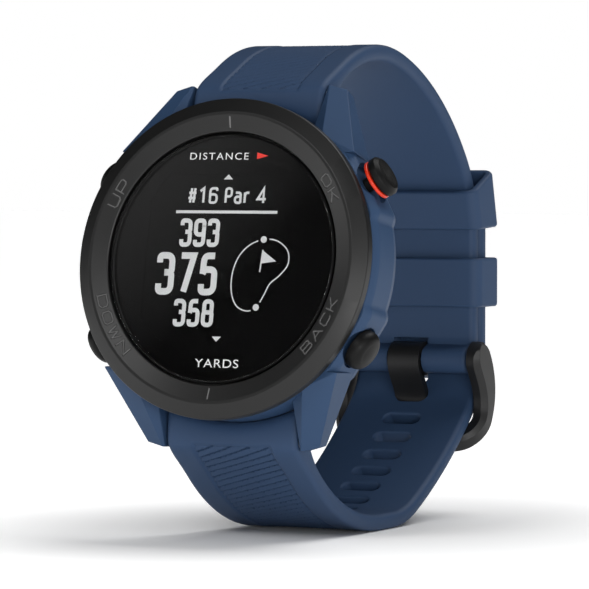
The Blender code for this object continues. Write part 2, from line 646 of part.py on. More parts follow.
def travel(start, heading, arcs):
    """Walks a chain of (radius, turn) arcs, or (None, length) straights, in the y, z plane.
    Returns stations (point, heading, distance) about 1.6 mm apart."""
    point, heading, gone = Vector(start), math.radians(heading), 0.0
    stations = [(point.copy(), heading, gone)]
    for radius, amount in arcs:
        turn = 0.0 if radius is None else math.radians(amount)
        length = amount if radius is None else radius * abs(turn)
        if radius is None:
            steps = 1
        else:
            steps = max(2, round(abs(amount) / 5.5))
        for _ in range(steps):
            chord = length / steps
            if turn:
                chord *= math.sin(turn / steps / 2) / (turn / steps / 2)
            middle = heading + turn / steps / 2
            point = point + chord * Vector((math.cos(middle), math.sin(middle)))
            heading += turn / steps
            gone += length / steps
            stations.append((point.copy(), heading, gone))
    return stations


def at_distance(stations, distance):
    """The point and heading at a distance along a route."""
    for (p0, h0, s0), (p1, h1, s1) in zip(stations, stations[1:]):
        if distance <= s1:
            break
    part = (distance - s0) / (s1 - s0)
    return p0.lerp(p1, part), h0 + (h1 - h0) * part


def outward(heading):
    """The side of a route away from the wrist, for the lower half."""
    return Vector((math.sin(heading), -math.cos(heading)))


upper_bar = case_to_loop(bar_y, -BAR_DEPTH)
lower_bar = case_to_loop(-bar_y, -BAR_DEPTH)
upper_route = travel(upper_bar, UPPER_HEADING, UPPER_ARCS + [(None, UPPER_STRAIGHT)])
arc_end = travel(upper_bar, UPPER_HEADING, UPPER_ARCS)[-1][0]
keeper_arc_radius = UPPER_ARCS[-1][0]
keeper_arc_centre = arc_end - Vector((keeper_arc_radius, 0))
layer_offset = STRAP_THICKNESS + LAYER_GAP

# The lower half's arcs grow or shrink together until it meets the back of the upper half.
back_y = arc_end.x + layer_offset
plain = travel((0, 0), LOWER_HEADING, LOWER_ARCS_BEFORE + [(None, REST_FLAT)] + LOWER_ARCS_AFTER)
growth = (back_y - lower_bar.x) / plain[-1][0].x
lower_chain = [(radius * growth, turn) for radius, turn in LOWER_ARCS_BEFORE]
lower_chain.append((None, REST_FLAT * growth))
lower_chain += [(radius * growth, turn) for radius, turn in LOWER_ARCS_AFTER]
rise_start = travel(lower_bar, LOWER_HEADING, lower_chain)[-1][0]
lower_chain.append((None, arc_end.y - rise_start.y))
lower_chain.append((keeper_arc_radius + layer_offset, TAIL_ARC))
lower_route = travel(lower_bar, LOWER_HEADING, lower_chain)
lower_length = lower_route[-1][2]

buckle_bar = Vector((arc_end.x + STRAP_THICKNESS / 2 - BUCKLE_ROLL_RADIUS - 1.0 * MM + 0.25 * MM,
                     upper_route[-1][0].y))


# ---------------------------------------------------------------- strap halves


def root_thickness(distance):
    """The strap is thick where it wraps its bar and settles to its own thickness."""
    part = min(1.0, distance / STRAP_ROOT_LENGTH)
    return STRAP_ROOT_THICKNESS + (STRAP_THICKNESS - STRAP_ROOT_THICKNESS) * part


def band(sections):
    """Skins flat octagonal sections: (point, heading, thickness, half width)."""
    bm = bmesh.new()
    rings = []
    for point, heading, thickness, half_width in sections:
        normal = outward(heading)
        half, edge = thickness / 2, min(STRAP_EDGE, thickness / 3)
        ring = []
        for x, offset in (
            (half_width - edge, half), (half_width, half - edge), (half_width, edge - half),
            (half_width - edge, -half), (edge - half_width, -half), (-half_width, edge - half),
            (-half_width, half - edge), (edge - half_width, half),
        ):
            where = point + normal * offset
            ring.append(bm.verts.new((x, where.x, where.y)))
        rings.append(ring)
    for first, second in zip(rings, rings[1:]):
        for i in range(8):
            j = (i + 1) % 8
            bm.faces.new((first[i], first[j], second[j], second[i]))
    bm.faces.new(rings[0])
    bm.faces.new(rings[-1])
    return bm


def along_x(point):
    """A frame at a loop point with its z along the watch's x."""
    return Matrix.Translation((0, point.x, point.y)) @ ACROSS


def slot_cutter(point, direction, width, length, reach):
    """A slot with round ends, drawn out along a direction in the loop's plane."""
    outline = []
    for end in (1, -1):
        for step in range(5):
            angle = math.radians(-90 + 45 * step)
            outline.append((
                end * (length / 2 - width / 2) + end * width / 2 * math.cos(angle),
                end * width / 2 * math.sin(angle),
            ))
    z = Vector((0, direction.x, direction.y))
    x = Vector((1, 0, 0))
    turn = Matrix((x, z.cross(x), z)).transposed().to_4x4()
    return prism(outline, -reach, reach, Matrix.Translation((0, point.x, point.y)) @ turn)


knob_room = RELEASE_KNOB_RADIUS + SEAL_GAP
knob_low = RELEASE_KNOB_PLACE - PIN_TRAVEL
knob_window = block(
    (knob_low - knob_room - GAP, -knob_room - SEAL_GAP, -ROLL_RADIUS - overshoot),
    (RELEASE_KNOB_PLACE + knob_room + GAP, knob_room + SEAL_GAP, 0))


def add_bar_roll(strap, name, centre):
    """The roll round a lug bar, with the window its release knob slides in."""
    half = STRAP_WIDTH / 2
    roll = rod(ROLL_RADIUS, -half, half, MIDDLE_TURN, along_x(centre))
    boolean(strap, "UNION", piece(name + "_roll", roll, None, watch))
    window = knob_window.copy()
    turn = Matrix.Rotation(math.pi / 2 - CASE_LEAN, 4, "X")
    bmesh.ops.transform(
        window, matrix=Matrix.Translation((0, centre.x, centre.y)) @ turn, verts=window.verts)
    boolean(strap, "DIFFERENCE", piece(name + "_knob_window", window, None, watch))
    boolean(strap, "DIFFERENCE", piece(name + "_bore", rod(
        BAR_RADIUS + GAP, -half - overshoot, half + overshoot, SMALL_TURN, along_x(centre)), None, watch))


half_strap = STRAP_WIDTH / 2
upper = piece("strap_upper", band([
    (point, heading, root_thickness(distance), half_strap) for point, heading, distance in upper_route
]), BLUE_SILICONE, watch)
add_bar_roll(upper, "upper_lug", upper_bar)
buckle_bore = BUCKLE_BAR_RADIUS + GAP
boolean(upper, "UNION", piece("buckle_roll", rod(
    BUCKLE_ROLL_RADIUS, -half_strap, half_strap, MIDDLE_TURN, along_x(buckle_bar)), None, watch))
boolean(upper, "DIFFERENCE", piece("buckle_roll_bore", rod(
    buckle_bore, -half_strap - overshoot, half_strap + overshoot, SMALL_TURN, along_x(buckle_bar)),
    None, watch))
prong_room = PRONG_WIDTH / 2 + GAP
eye_room = PRONG_EYE_RADIUS + 2 * GAP
boolean(upper, "DIFFERENCE", piece("prong_notch", block(
    (-prong_room, buckle_bar.x - 2 * eye_room, buckle_bar.y - 2 * eye_room),
    (prong_room, buckle_bar.x + 2 * eye_room, buckle_bar.y + eye_room)), None, watch))


def lower_half_width(distance):
    """The tail narrows on a quarter ellipse over its last few millimetres."""
    left = lower_length - distance
    if left >= TAIL_ROUND:
        return half_strap
    part = 1 - left / TAIL_ROUND
    drop = half_strap - TAIL_TIP_HALF_WIDTH
    return half_strap - drop * (1 - math.sqrt(1 - part * part))


stations = list(lower_route)
for part in (1.0, 0.7, 0.4, 0.15):
    distance = lower_length - part * TAIL_ROUND
    point, heading = at_distance(lower_route, distance)
    stations.append((point, heading, distance))
stations = sorted(stations, key=lambda station: station[2])
lower = piece("strap_lower", band([
    (point, heading, root_thickness(distance), lower_half_width(distance))
    for point, heading, distance in stations
]), BLUE_SILICONE, watch)
add_bar_roll(lower, "lower_lug", lower_bar)


# ---------------------------------------------------------------- buckle places

crossbar_base, crossbar_heading = None, None
for step in range(400):
    distance = lower_length * step / 400
    point, heading = at_distance(lower_route, distance)
    if (point - buckle_bar).length < FRAME_REACH:
        crossbar_base, crossbar_heading = point, heading
        break
crossbar = crossbar_base + outward(crossbar_heading) * (STRAP_THICKNESS / 2 + GAP + CROSSBAR_RADIUS)

# The prong's leg runs past the outside of the bar and of the crossbar, through the lower half.
to_crossbar = crossbar - buckle_bar
crossbar_distance = to_crossbar.length
prong_clear = CROSSBAR_RADIUS + SEAL_GAP + PRONG_THICKNESS / 2
prong_lift = math.asin((prong_clear - PRONG_OFFSET) / crossbar_distance)
prong_angle = math.atan2(to_crossbar.y, to_crossbar.x) + prong_lift
prong_direction = Vector((math.cos(prong_angle), math.sin(prong_angle)))
prong_length = crossbar_distance + 0.8 * MM
used_slot = 0.0
for step in range(2000):
    distance = lower_length * step / 2000
    away = at_distance(lower_route, distance)[0] - buckle_bar
    across = away.x * prong_direction.y - away.y * prong_direction.x
    if away.length < crossbar_distance and across + PRONG_OFFSET < 0:
        used_slot = distance
        break

for number in range(-SLOTS_BELOW_BUCKLE, SLOTS_ABOVE_BUCKLE + 1):
    distance = used_slot + number * SLOT_PITCH
    point, heading = at_distance(lower_route, distance)
    if number == 0:
        reach = 2 * STRAP_THICKNESS
        cutter = slot_cutter(point, prong_direction, PRONG_THICKNESS + 2 * GAP, SLOT_LENGTH, reach)
    else:
        cutter = slot_cutter(point, outward(heading), SLOT_WIDTH, SLOT_LENGTH, STRAP_THICKNESS)
    name = "slot_%02d" % (number + SLOTS_BELOW_BUCKLE + 1)
    boolean(lower, "DIFFERENCE", piece(name, cutter, None, watch))


# ---------------------------------------------------------------- spring bars in the lugs

for name, side in (("upper", 1), ("lower", -1)):
    hinge = empty(name + "_spring_bar_axis", case)
    hinge.location = (0, side * bar_y, -BAR_DEPTH)
    end = STRAP_WIDTH / 2 - GAP
    reach = STRAP_WIDTH / 2 + PIN_REACH
    pin_start = STRAP_WIDTH / 2 - PIN_LENGTH_INSIDE
    bar = piece(name + "_spring_bar", turned([
        (0, -reach), (PIN_RADIUS, -reach), (PIN_RADIUS, -end), (BAR_RADIUS, -end), (BAR_RADIUS, end),
        (BAR_BORE_RADIUS, end), (BAR_BORE_RADIUS, pin_start - PIN_TRAVEL - GAP),
        (0, pin_start - PIN_TRAVEL - GAP),
    ], SMALL_TURN, ACROSS), STEEL, hinge)
    boolean(bar, "DIFFERENCE", piece(name + "_knob_slot", block(
        (knob_low - knob_room - SEAL_GAP, -knob_room, -ROLL_RADIUS - overshoot),
        (RELEASE_KNOB_PLACE + knob_room + SEAL_GAP, knob_room, 0)), None, hinge))
    pin = piece(name + "_release_pin", rod(PIN_RADIUS, pin_start, reach, TINY_TURN, ACROSS), STEEL, hinge)
    boolean(pin, "UNION", piece(name + "_knob", rod(
        RELEASE_KNOB_RADIUS, -RELEASE_KNOB_REACH, 0.1 * MM, TINY_TURN,
        Matrix.Translation((RELEASE_KNOB_PLACE, 0, 0))), None, hinge))


# ---------------------------------------------------------------- keepers

keeper_room_x = STRAP_WIDTH / 2 + GAP
keeper_room_y = (2 * STRAP_THICKNESS + LAYER_GAP) / 2 + KEEPER_SLACK
keeper_outer = round_corners(keeper_room_x + KEEPER_WALL, keeper_room_y + KEEPER_WALL, KEEPER_CORNER)
keeper_inner = round_corners(keeper_room_x, keeper_room_y, KEEPER_CORNER / 4)

# The lower keeper slides on the straight part of both layers.
keeper_axis = empty("keeper_lower_axis", watch)
keeper_axis.location = (0, arc_end.x + layer_offset / 2, arc_end.y - LOWER_KEEPER_DROP)
ends = [Matrix.Translation((0, 0, side * KEEPER_HEIGHT / 2)) for side in (-1, 1)]
piece("keeper_lower", hollow_sweep(keeper_outer, keeper_inner, ends), BLUE_SILICONE, keeper_axis)

# The upper keeper follows the curve above it, round the centre its two layers share.
keeper_axis = empty("keeper_upper_axis", watch)
keeper_axis.location = (0, keeper_arc_centre.x, keeper_arc_centre.y)
keeper_arc_middle = keeper_arc_radius + layer_offset / 2
places = []
for step in range(4):
    turn = math.radians(UPPER_KEEPER_ANGLE) + KEEPER_HEIGHT / keeper_arc_middle * (step / 3 - 0.5)
    places.append(Matrix.Rotation(turn, 4, "X") @ Matrix.Translation((0, keeper_arc_middle, 0)))
piece("keeper_upper", hollow_sweep(keeper_outer, keeper_inner, places), BLUE_SILICONE, keeper_axis)


# ---------------------------------------------------------------- buckle

arm_inner = STRAP_WIDTH / 2 + GAP
arm_outer = arm_inner + FRAME_ARM_THICKNESS
bar_half = arm_outer - 2 * GAP
bar_axis = empty("buckle_bar_axis", watch)
bar_axis.location = (0, buckle_bar.x, buckle_bar.y)
piece("buckle_bar", rod(BUCKLE_BAR_RADIUS, -bar_half, bar_half, SMALL_TURN, ACROSS), STEEL, bar_axis)


def eye_and_leg(start, end, bulge, start_radius, end_radius, steps):
    """A side view that starts round one centre, bows outward, and ends round another."""
    run = end - start
    normal = Vector((-run.y, run.x)).normalized()
    control = (start + end) / 2 + normal * bulge * 2
    left, right = [], []
    for step in range(steps + 1):
        part = step / steps
        point = (1 - part) ** 2 * start + 2 * part * (1 - part) * control + part**2 * end
        slope = (2 * (1 - part) * (control - start) + 2 * part * (end - control)).normalized()
        across = Vector((-slope.y, slope.x))
        half = start_radius + (end_radius - start_radius) * min(1.0, 1.6 * part)
        left.append(point + across * half)
        right.append(point - across * half)
    first = (control - start).normalized()
    last = (end - control).normalized()
    end_cap, start_cap = [], []
    for step in range(1, 6):
        angle = math.radians(30 * step)
        side = Vector((-last.y, last.x))
        end_cap.append(end + end_radius * (side * math.cos(angle) + last * math.sin(angle)))
        side = Vector((-first.y, first.x))
        start_cap.append(start + start_radius * (-side * math.cos(angle) - first * math.sin(angle)))
    return left + end_cap + right[::-1] + start_cap


# x of the outline becomes y of the loop, y becomes z, and it is drawn out along x.
SIDEWAYS = Matrix(((0, 0, 1, 0), (1, 0, 0, 0), (0, 1, 0, 0), (0, 0, 0, 1)))
crossbar_local = crossbar - buckle_bar
arm_outline = [tuple(p) for p in eye_and_leg(
    Vector((0, 0)), crossbar_local, FRAME_BULGE, FRAME_EYE_RADIUS, CROSSBAR_RADIUS + 0.3 * MM, 8)]
frame_piece = piece("buckle_frame", prism(arm_outline, arm_inner, arm_outer, SIDEWAYS), BLACK_METAL, bar_axis)
boolean(frame_piece, "UNION", piece("left_arm", prism(arm_outline, -arm_outer, -arm_inner, SIDEWAYS),
                                    None, bar_axis))
boolean(frame_piece, "UNION", piece("crossbar", rod(
    CROSSBAR_RADIUS, -arm_inner - 1 * MM, arm_inner + 1 * MM, SMALL_TURN,
    Matrix.Translation((0, crossbar_local.x, crossbar_local.y)) @ ACROSS), None, bar_axis))
boolean(frame_piece, "DIFFERENCE", piece("frame_eyes", rod(
    buckle_bore, -bar_half - GAP, bar_half + GAP, SMALL_TURN, ACROSS), None, bar_axis))

prong_low = PRONG_OFFSET - PRONG_THICKNESS / 2
prong_high = PRONG_OFFSET + PRONG_THICKNESS / 2
prong_outline = [(prong_length - 0.3 * MM, prong_low), (prong_length, PRONG_OFFSET),
                 (prong_length - 0.3 * MM, prong_high)]
eye_from = math.asin(prong_high / PRONG_EYE_RADIUS)
eye_to = 2 * math.pi + math.asin(prong_low / PRONG_EYE_RADIUS)
for step in range(17):
    angle = eye_from + (eye_to - eye_from) * step / 16
    prong_outline.append((PRONG_EYE_RADIUS * math.cos(angle), PRONG_EYE_RADIUS * math.sin(angle)))
prong_turn = Matrix.Rotation(math.atan2(prong_direction.y, prong_direction.x), 4, "X")
prong = piece("buckle_prong", prism(
    prong_outline, -PRONG_WIDTH / 2, PRONG_WIDTH / 2, prong_turn @ SIDEWAYS), BLACK_METAL, bar_axis)
boolean(prong, "DIFFERENCE", piece("prong_eye", rod(
    buckle_bore, -PRONG_WIDTH, PRONG_WIDTH, SMALL_TURN, ACROSS), None, bar_axis))


# ---------------------------------------------------------------- stand the watch on the ground

bpy.context.view_layer.update()
graph = bpy.context.evaluated_depsgraph_get()
low, high = Vector((1, 1, 1)), Vector((-1, -1, -1))
for made in bpy.data.objects:
    if made.type != "MESH" or made.hide_render:
        continue
    evaluated = made.evaluated_get(graph)
    for vertex in evaluated.to_mesh().vertices:
        place = evaluated.matrix_world @ vertex.co
        low = Vector(map(min, low, place))
        high = Vector(map(max, high, place))
    evaluated.to_mesh_clear()
watch.location = (-(low.x + high.x) / 2, -(low.y + high.y) / 2, -low.z)
bpy.context.view_layer.update()
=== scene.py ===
import math

import bmesh
import bpy
import numpy as np
from mathutils import Matrix, Vector


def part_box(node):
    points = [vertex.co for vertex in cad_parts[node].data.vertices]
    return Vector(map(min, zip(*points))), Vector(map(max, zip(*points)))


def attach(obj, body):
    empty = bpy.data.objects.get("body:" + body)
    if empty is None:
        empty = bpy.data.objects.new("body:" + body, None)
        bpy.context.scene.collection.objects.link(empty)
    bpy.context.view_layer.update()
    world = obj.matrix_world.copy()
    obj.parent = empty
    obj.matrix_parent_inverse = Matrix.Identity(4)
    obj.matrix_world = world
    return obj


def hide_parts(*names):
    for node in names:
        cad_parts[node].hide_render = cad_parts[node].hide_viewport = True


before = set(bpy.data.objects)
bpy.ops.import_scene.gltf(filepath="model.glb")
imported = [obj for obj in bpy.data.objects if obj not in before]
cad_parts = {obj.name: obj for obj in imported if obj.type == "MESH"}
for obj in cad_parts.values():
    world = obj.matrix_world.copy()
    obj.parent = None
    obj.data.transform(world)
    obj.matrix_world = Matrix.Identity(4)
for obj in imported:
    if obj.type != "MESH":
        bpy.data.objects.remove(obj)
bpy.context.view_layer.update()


# ------------------------------
# The studio: a pale floor under the watch, soft light from above and both sides,
# and a long lens at the height of the strap's middle. The watch leans back on
# its own strap, so the case has a frame of its own that the pieces are drawn in.
MM = 0.001
LEAN = math.radians(9.95)
WATCH_MIDDLE = (0, 0, 0.035)
DISPLAY_MIDDLE_DEPTH = 2.3

case_x = np.array((1.0, 0.0, 0.0))
case_y = np.array((0.0, math.sin(LEAN), math.cos(LEAN)))
case_z = np.array((0.0, -math.cos(LEAN), math.sin(LEAN)))
panel_low, panel_high = (np.array(corner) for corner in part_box("display_panel"))
glass_centre = (panel_low + panel_high) / 2 + case_z * DISPLAY_MIDDLE_DEPTH * MM


def in_case(points):
    """Case points in millimetres (3 o'clock, 12 o'clock, out of the glass), as world metres."""
    points = np.asarray(points, float) * MM
    return glass_centre + points[..., :1] * case_x + points[..., 1:2] * case_y + points[..., 2:] * case_z


def in_loop(points):
    """Strap points in millimetres from the middle of the glass, level with the floor, as world metres."""
    return glass_centre + np.asarray(points, float) * MM


scene = bpy.context.scene
camera_data = bpy.data.cameras.new("camera")
camera_data.sensor_width = 36.0
camera_data.lens = 36.0 * 4000 / 589
camera = bpy.data.objects.new("camera", camera_data)
scene.collection.objects.link(camera)
camera_turn = math.radians(26.77)
camera_dip = math.radians(1.935)
ahead = Vector((
    -math.sin(camera_turn) * math.cos(camera_dip),
    math.cos(camera_turn) * math.cos(camera_dip),
    -math.sin(camera_dip),
))
right = Vector((math.cos(camera_turn), math.sin(camera_turn), 0))
above = right.cross(ahead)
camera.matrix_world = Matrix.Translation(glass_centre + np.array((250.92, -475.19, 13.2)) * MM) @ Matrix(
    (right, above, -ahead)).transposed().to_4x4()
scene.camera = camera
scene.view_settings.view_transform = "Standard"


def set_inputs(node, values):
    for label, value in values.items():
        node.inputs[label].default_value = value


def add_node(tree, kind, values=None, **settings):
    """A shader node with its settings, and the values of its inputs by label or number."""
    node = tree.nodes.new("ShaderNode" + kind)
    for label, value in settings.items():
        setattr(node, label, value)
    set_inputs(node, values or {})
    return node


def wire(tree, *runs):
    """Links between nodes, each given as (node, output, node, input)."""
    for source, output, target, socket in runs:
        tree.links.new(source.outputs[output], target.inputs[socket])


def new_finish(name, values):
    """A material, its node tree and its shader, with the shader's plain values set."""
    finish = bpy.data.materials.new(name)
    finish.use_nodes = True
    shader = finish.node_tree.nodes["Principled BSDF"]
    set_inputs(shader, values)
    return finish, finish.node_tree, shader


def link_object(name, data):
    made = bpy.data.objects.new(name, data)
    scene.collection.objects.link(made)
    return made


# The floor glows, painted light that grows away from the watch: near the watch it stays darker, a painted shade
# round it, and further out it fades into the white room.
FLOOR_HALF = 3.0
floor_mesh = bpy.data.meshes.new("floor")
floor_mesh.from_pydata(
    [(x * FLOOR_HALF, y * FLOOR_HALF, 0) for x, y in ((-1, -1), (1, -1), (1, 1), (-1, 1))], [], [(0, 1, 2, 3)])
floor = link_object("floor", floor_mesh)
floor_paint, tree, shader = new_finish("floor_paint", {
    "Base Color": (0.93, 0.93, 0.93, 1), "Roughness": 0.9, "Specular IOR Level": 0.0,
    "Emission Color": (1, 1, 1, 1)})
spot = add_node(tree, "TexCoord")
away = add_node(tree, "VectorMath", operation="LENGTH")
fade = add_node(tree, "MapRange", {"From Min": 0.013, "From Max": 0.060, "To Min": 0.0, "To Max": 0.52})
wire(
    tree, (spot, "Object", away, 0), (away, "Value", fade, "Value"),
    (fade, "Result", shader, "Emission Strength"))
floor_mesh.materials.append(floor_paint)

# The room round the watch: white behind it, and dark in front but for one soft panel up to
# the left, whose fading edge lies across the glass.
world = bpy.data.worlds.new("studio")
scene.world = world
world.use_nodes = True
tree = world.node_tree
room = tree.nodes["Background"]
room.inputs["Color"].default_value = (1, 1, 1, 1)
direction = add_node(tree, "TexCoord")
toward = add_node(tree, "VectorMath", {1: (-0.558, -0.746, 0.364)}, operation="DOT_PRODUCT")
brighten = add_node(tree, "MapRange", {"From Min": 0.9868, "From Max": 0.9935, "To Min": 0.008, "To Max": 0.37})
backdrop = add_node(tree, "Background", {"Strength": 1.0, "Color": (1, 1, 1, 1)})
seen = add_node(tree, "LightPath")
choose = add_node(tree, "MixShader")
wire(
    tree, (direction, "Generated", toward, 0), (toward, "Value", brighten, "Value"),
    (brighten, "Result", room, "Strength"), (seen, "Is Camera Ray", choose, "Fac"), (room, 0, choose, 1),
    (backdrop, 0, choose, 2), (choose, 0, tree.nodes["World Output"], "Surface"))


def soft_box(name, place, width, height, power):
    """An area light aimed at the watch; power is in watts."""
    data = bpy.data.lights.new(name, "AREA")
    data.shape = "RECTANGLE"
    data.size, data.size_y = width, height
    data.energy = power
    aim = Vector(WATCH_MIDDLE) - Vector(place)
    turn = aim.to_track_quat("-Z", "Y").to_matrix().to_4x4()
    link_object(name, data).matrix_world = Matrix.Translation(place) @ turn


overhead = bpy.data.lights.new("overhead", "SUN")
overhead.energy = 1.80
overhead.angle = math.radians(48)
link_object("overhead", overhead).rotation_euler = (math.radians(-22), math.radians(18), 0)
soft_box("right_box", (0.70, -0.30, 0.12), 0.5, 0.4, 0.7)
soft_box("front_fill", (0.46, -0.60, 0.02), 0.35, 0.25, 3.2)
soft_box("left_box", (-0.58, -0.46, 0.05), 0.2, 0.3, 0.7)
soft_box("upper_front_box", (-0.06, -0.72, 0.52), 0.25, 0.25, 1.9)


# ------------------------------
# The strap: two moulded silicone halves, thick where they wrap their spring
# bars, with round edges. Fine slanting ribs lie in a sunk field near each lug,
# and the long half has slots for the buckle's prong.
STRAP_HALF_WIDTH = 10.0
STRAP_HALF_THICKNESS = 1.15
STRAP_EDGE_RADIUS = 0.85
ROLL_RADIUS = 2.0
ROOT_LENGTH = 9.0
LUG_BAR = (23.5, -9.0)
LUG_BAR_BORE = 1.2
UPPER_HEADING = 42.1
UPPER_ARCS = [(25.61, -58.2), (26.05, -35.8), (11.50, -38.1)]
LOWER_HEADING = -53.3
LOWER_ARCS = [(9.737, 16.8), (20.01, 36.5), (4.001, 0.0), (7.014, 24.8), (23.42, 17.2), (9.888, 48.0)]
LAYER_SPACING = 2.8
BACK_CURVE_RADIUS = 17.3
TAIL_TURN = 22.5
TAIL_ROUND = 5.0
TAIL_TIP_HALF_WIDTH = 4.5
BUCKLE_BAR = np.array((60.05, -16.2))
BUCKLE_ROLL_RADIUS = 2.1
BUCKLE_BORE = 1.05
FIRST_SLOT = 64.72
SLOT_PITCH = 4.2
SLOTS_BELOW, SLOTS_ABOVE = 7, 6
SLOT_LENGTH, SLOT_WIDTH, SLOT_LIP, SLOT_REACH = 5.8, 2.0, 0.35, 1.8
USED_SLOT_SHIFT = 1.0
RIB_PITCH = 1.05
RIB_DEPTH = 0.55
RIB_SLANT = math.radians(22)
FIELD_HALF_WIDTH = 5.9
CASE_CLEAR_RADIUS = 21.1


def case_to_loop(y, z):
    """A case point's place in the plane of the loop."""
    return np.array((y * math.sin(LEAN) - z * math.cos(LEAN), y * math.cos(LEAN) + z * math.sin(LEAN)))


def follow(start, heading, arcs, distance):
    """Points and headings at distances along a chain of arcs, given as (length, turn in degrees),
    each tangent to the one before: a stretch d of an arc of bend k reaches (sin(a + k d) - sin a) / k
    and (cos a - cos(a + k d)) / k from where it starts at heading a. The route is straight before it."""
    distance = np.asarray(distance, float)
    points = np.empty(distance.shape + (2,))
    headings = np.empty(distance.shape)
    here, angle, gone = np.array(start, float), math.radians(heading), 0.0
    for number, (length, turn) in enumerate(arcs):
        bend = math.radians(turn) / length
        straight = np.array([math.cos(angle), math.sin(angle)])
        part = distance >= gone if number else np.ones(distance.shape, bool)
        along = distance[part] - gone
        bent = along if number else np.maximum(along, 0)
        stretches = np.append(bent, length)
        headings[part] = angle + bend * bent
        if bend:
            reach = np.stack([np.sin(angle + bend * stretches) - math.sin(angle),
                              math.cos(angle) - np.cos(angle + bend * stretches)], -1) / bend
        else:
            reach = stretches[:, None] * straight
        points[part] = here + reach[:-1] + (along - bent)[:, None] * straight
        here = here + reach[-1]
        angle += bend * length
        gone += length
    return points, headings


def full_turn(count):
    """Angles all the way round, without the last that repeats the first."""
    return np.linspace(0, 2 * math.pi, count + 1)[:-1]


def grid_faces(rows, columns, wrap_rows=False, wrap_columns=False):
    """Quads of a grid of points numbered row by row."""
    index = np.arange(rows * columns).reshape(rows, columns)
    if wrap_rows:
        index = np.vstack([index, index[:1]])
    if wrap_columns:
        index = np.hstack([index, index[:, :1]])
    quads = np.stack([index[:-1, :-1], index[:-1, 1:], index[1:, 1:], index[1:, :-1]], -1)
    return quads.reshape(-1, 4).tolist()


def capped_faces(rows, columns):
    """The faces of a tube of rings, closed at both ends."""
    ends = [list(range(columns))[::-1], list(range((rows - 1) * columns, rows * columns))]
    return grid_faces(rows, columns, wrap_columns=True) + ends


def plain_mesh(name, points, faces, merge=0.0):
    """A mesh with its doubles merged and its faces outward."""
    mesh = bpy.data.meshes.new(name)
    mesh.from_pydata(np.asarray(points).reshape(-1, 3).tolist(), [], faces)
    bm = bmesh.new()
    bm.from_mesh(mesh)
    if merge:
        bmesh.ops.remove_doubles(bm, verts=bm.verts, dist=merge)
    bmesh.ops.recalc_face_normals(bm, faces=bm.faces)
    if bm.calc_volume(signed=True) < 0:
        bmesh.ops.reverse_faces(bm, faces=bm.faces)
    bm.to_mesh(mesh)
    bm.free()
    return mesh


def keep_faces_flat(piece):
    piece.modifiers.new("flat_faces_stay_flat", "WEIGHTED_NORMAL").keep_sharp = True


def solid(name, points, faces, finish, sharp=35):
    """A finished piece at the origin, shaded smooth but for edges sharper than an angle."""
    mesh = plain_mesh(name, points, faces, 2e-7)
    mesh.shade_smooth()
    mesh.set_sharp_from_angle(angle=math.radians(sharp))
    mesh.materials.append(finish)
    made = link_object(name, mesh)
    keep_faces_flat(made)
    return made


def cut(target, points, faces):
    """Cuts a closed shape out of a piece, and applies it."""
    tool = link_object("cutter", plain_mesh("cutter", points, faces))
    modifier = target.modifiers.new("cut", "BOOLEAN")
    modifier.operation = "DIFFERENCE"
    modifier.object = tool
    modifier.solver = "EXACT"
    graph = bpy.context.evaluated_depsgraph_get()
    graph.update()
    made = bpy.data.meshes.new_from_object(target.evaluated_get(graph))
    target.modifiers.clear()
    old, spent = target.data, tool.data
    target.data = made
    made.name = old.name
    bpy.data.meshes.remove(old)
    bpy.data.objects.remove(tool)
    bpy.data.meshes.remove(spent)


def node_group(name, inputs, outputs):
    """An empty shader node group with named sockets, given as (name, type, default)."""
    group = bpy.data.node_groups.new(name, "ShaderNodeTree")
    for label, kind, value in inputs:
        socket = group.interface.new_socket(label, in_out="INPUT", socket_type=kind)
        socket.default_value = value
    for label, kind in outputs:
        group.interface.new_socket(label, in_out="OUTPUT", socket_type=kind)
    return group, group.nodes.new("NodeGroupInput"), group.nodes.new("NodeGroupOutput")


# Moulded grain: colour and gloss drift slowly over the piece, and a fine grain stands for
# the texture that a spark-eroded mould leaves.
grain_group, grain_in, grain_out = node_group(
    "moulded_grain",
    [("Color", "NodeSocketColor", (0.5, 0.5, 0.5, 1)), ("Drift", "NodeSocketFloat", 0.08),
     ("Roughness", "NodeSocketFloat", 0.5), ("Roughness Drift", "NodeSocketFloat", 0.06),
     ("Grain Size", "NodeSocketFloat", 6000.0)],
    [("Color", "NodeSocketColor"), ("Roughness", "NodeSocketFloat"), ("Height", "NodeSocketFloat")])
place = add_node(grain_group, "TexCoord")
cloud = add_node(grain_group, "TexNoise", {"Scale": 90.0, "Detail": 3.0})
speck = add_node(grain_group, "TexNoise", {"Detail": 2.0})
centred = add_node(grain_group, "Math", {1: 0.5}, operation="SUBTRACT")
swing = add_node(grain_group, "Math", {2: 1.0}, operation="MULTIPLY_ADD")
shade = add_node(grain_group, "VectorMath", operation="SCALE")
gloss = add_node(grain_group, "Math", operation="MULTIPLY_ADD")
wire(
    grain_group, (place, "Object", cloud, "Vector"), (place, "Object", speck, "Vector"),
    (grain_in, "Grain Size", speck, "Scale"), (cloud, "Fac", centred, 0), (centred, 0, swing, 0),
    (grain_in, "Drift", swing, 1), (grain_in, "Color", shade, 0), (swing, 0, shade, "Scale"),
    (shade, 0, grain_out, "Color"), (centred, 0, gloss, 0), (grain_in, "Roughness Drift", gloss, 1),
    (grain_in, "Roughness", gloss, 2), (gloss, 0, grain_out, "Roughness"), (speck, "Fac", grain_out, "Height"))


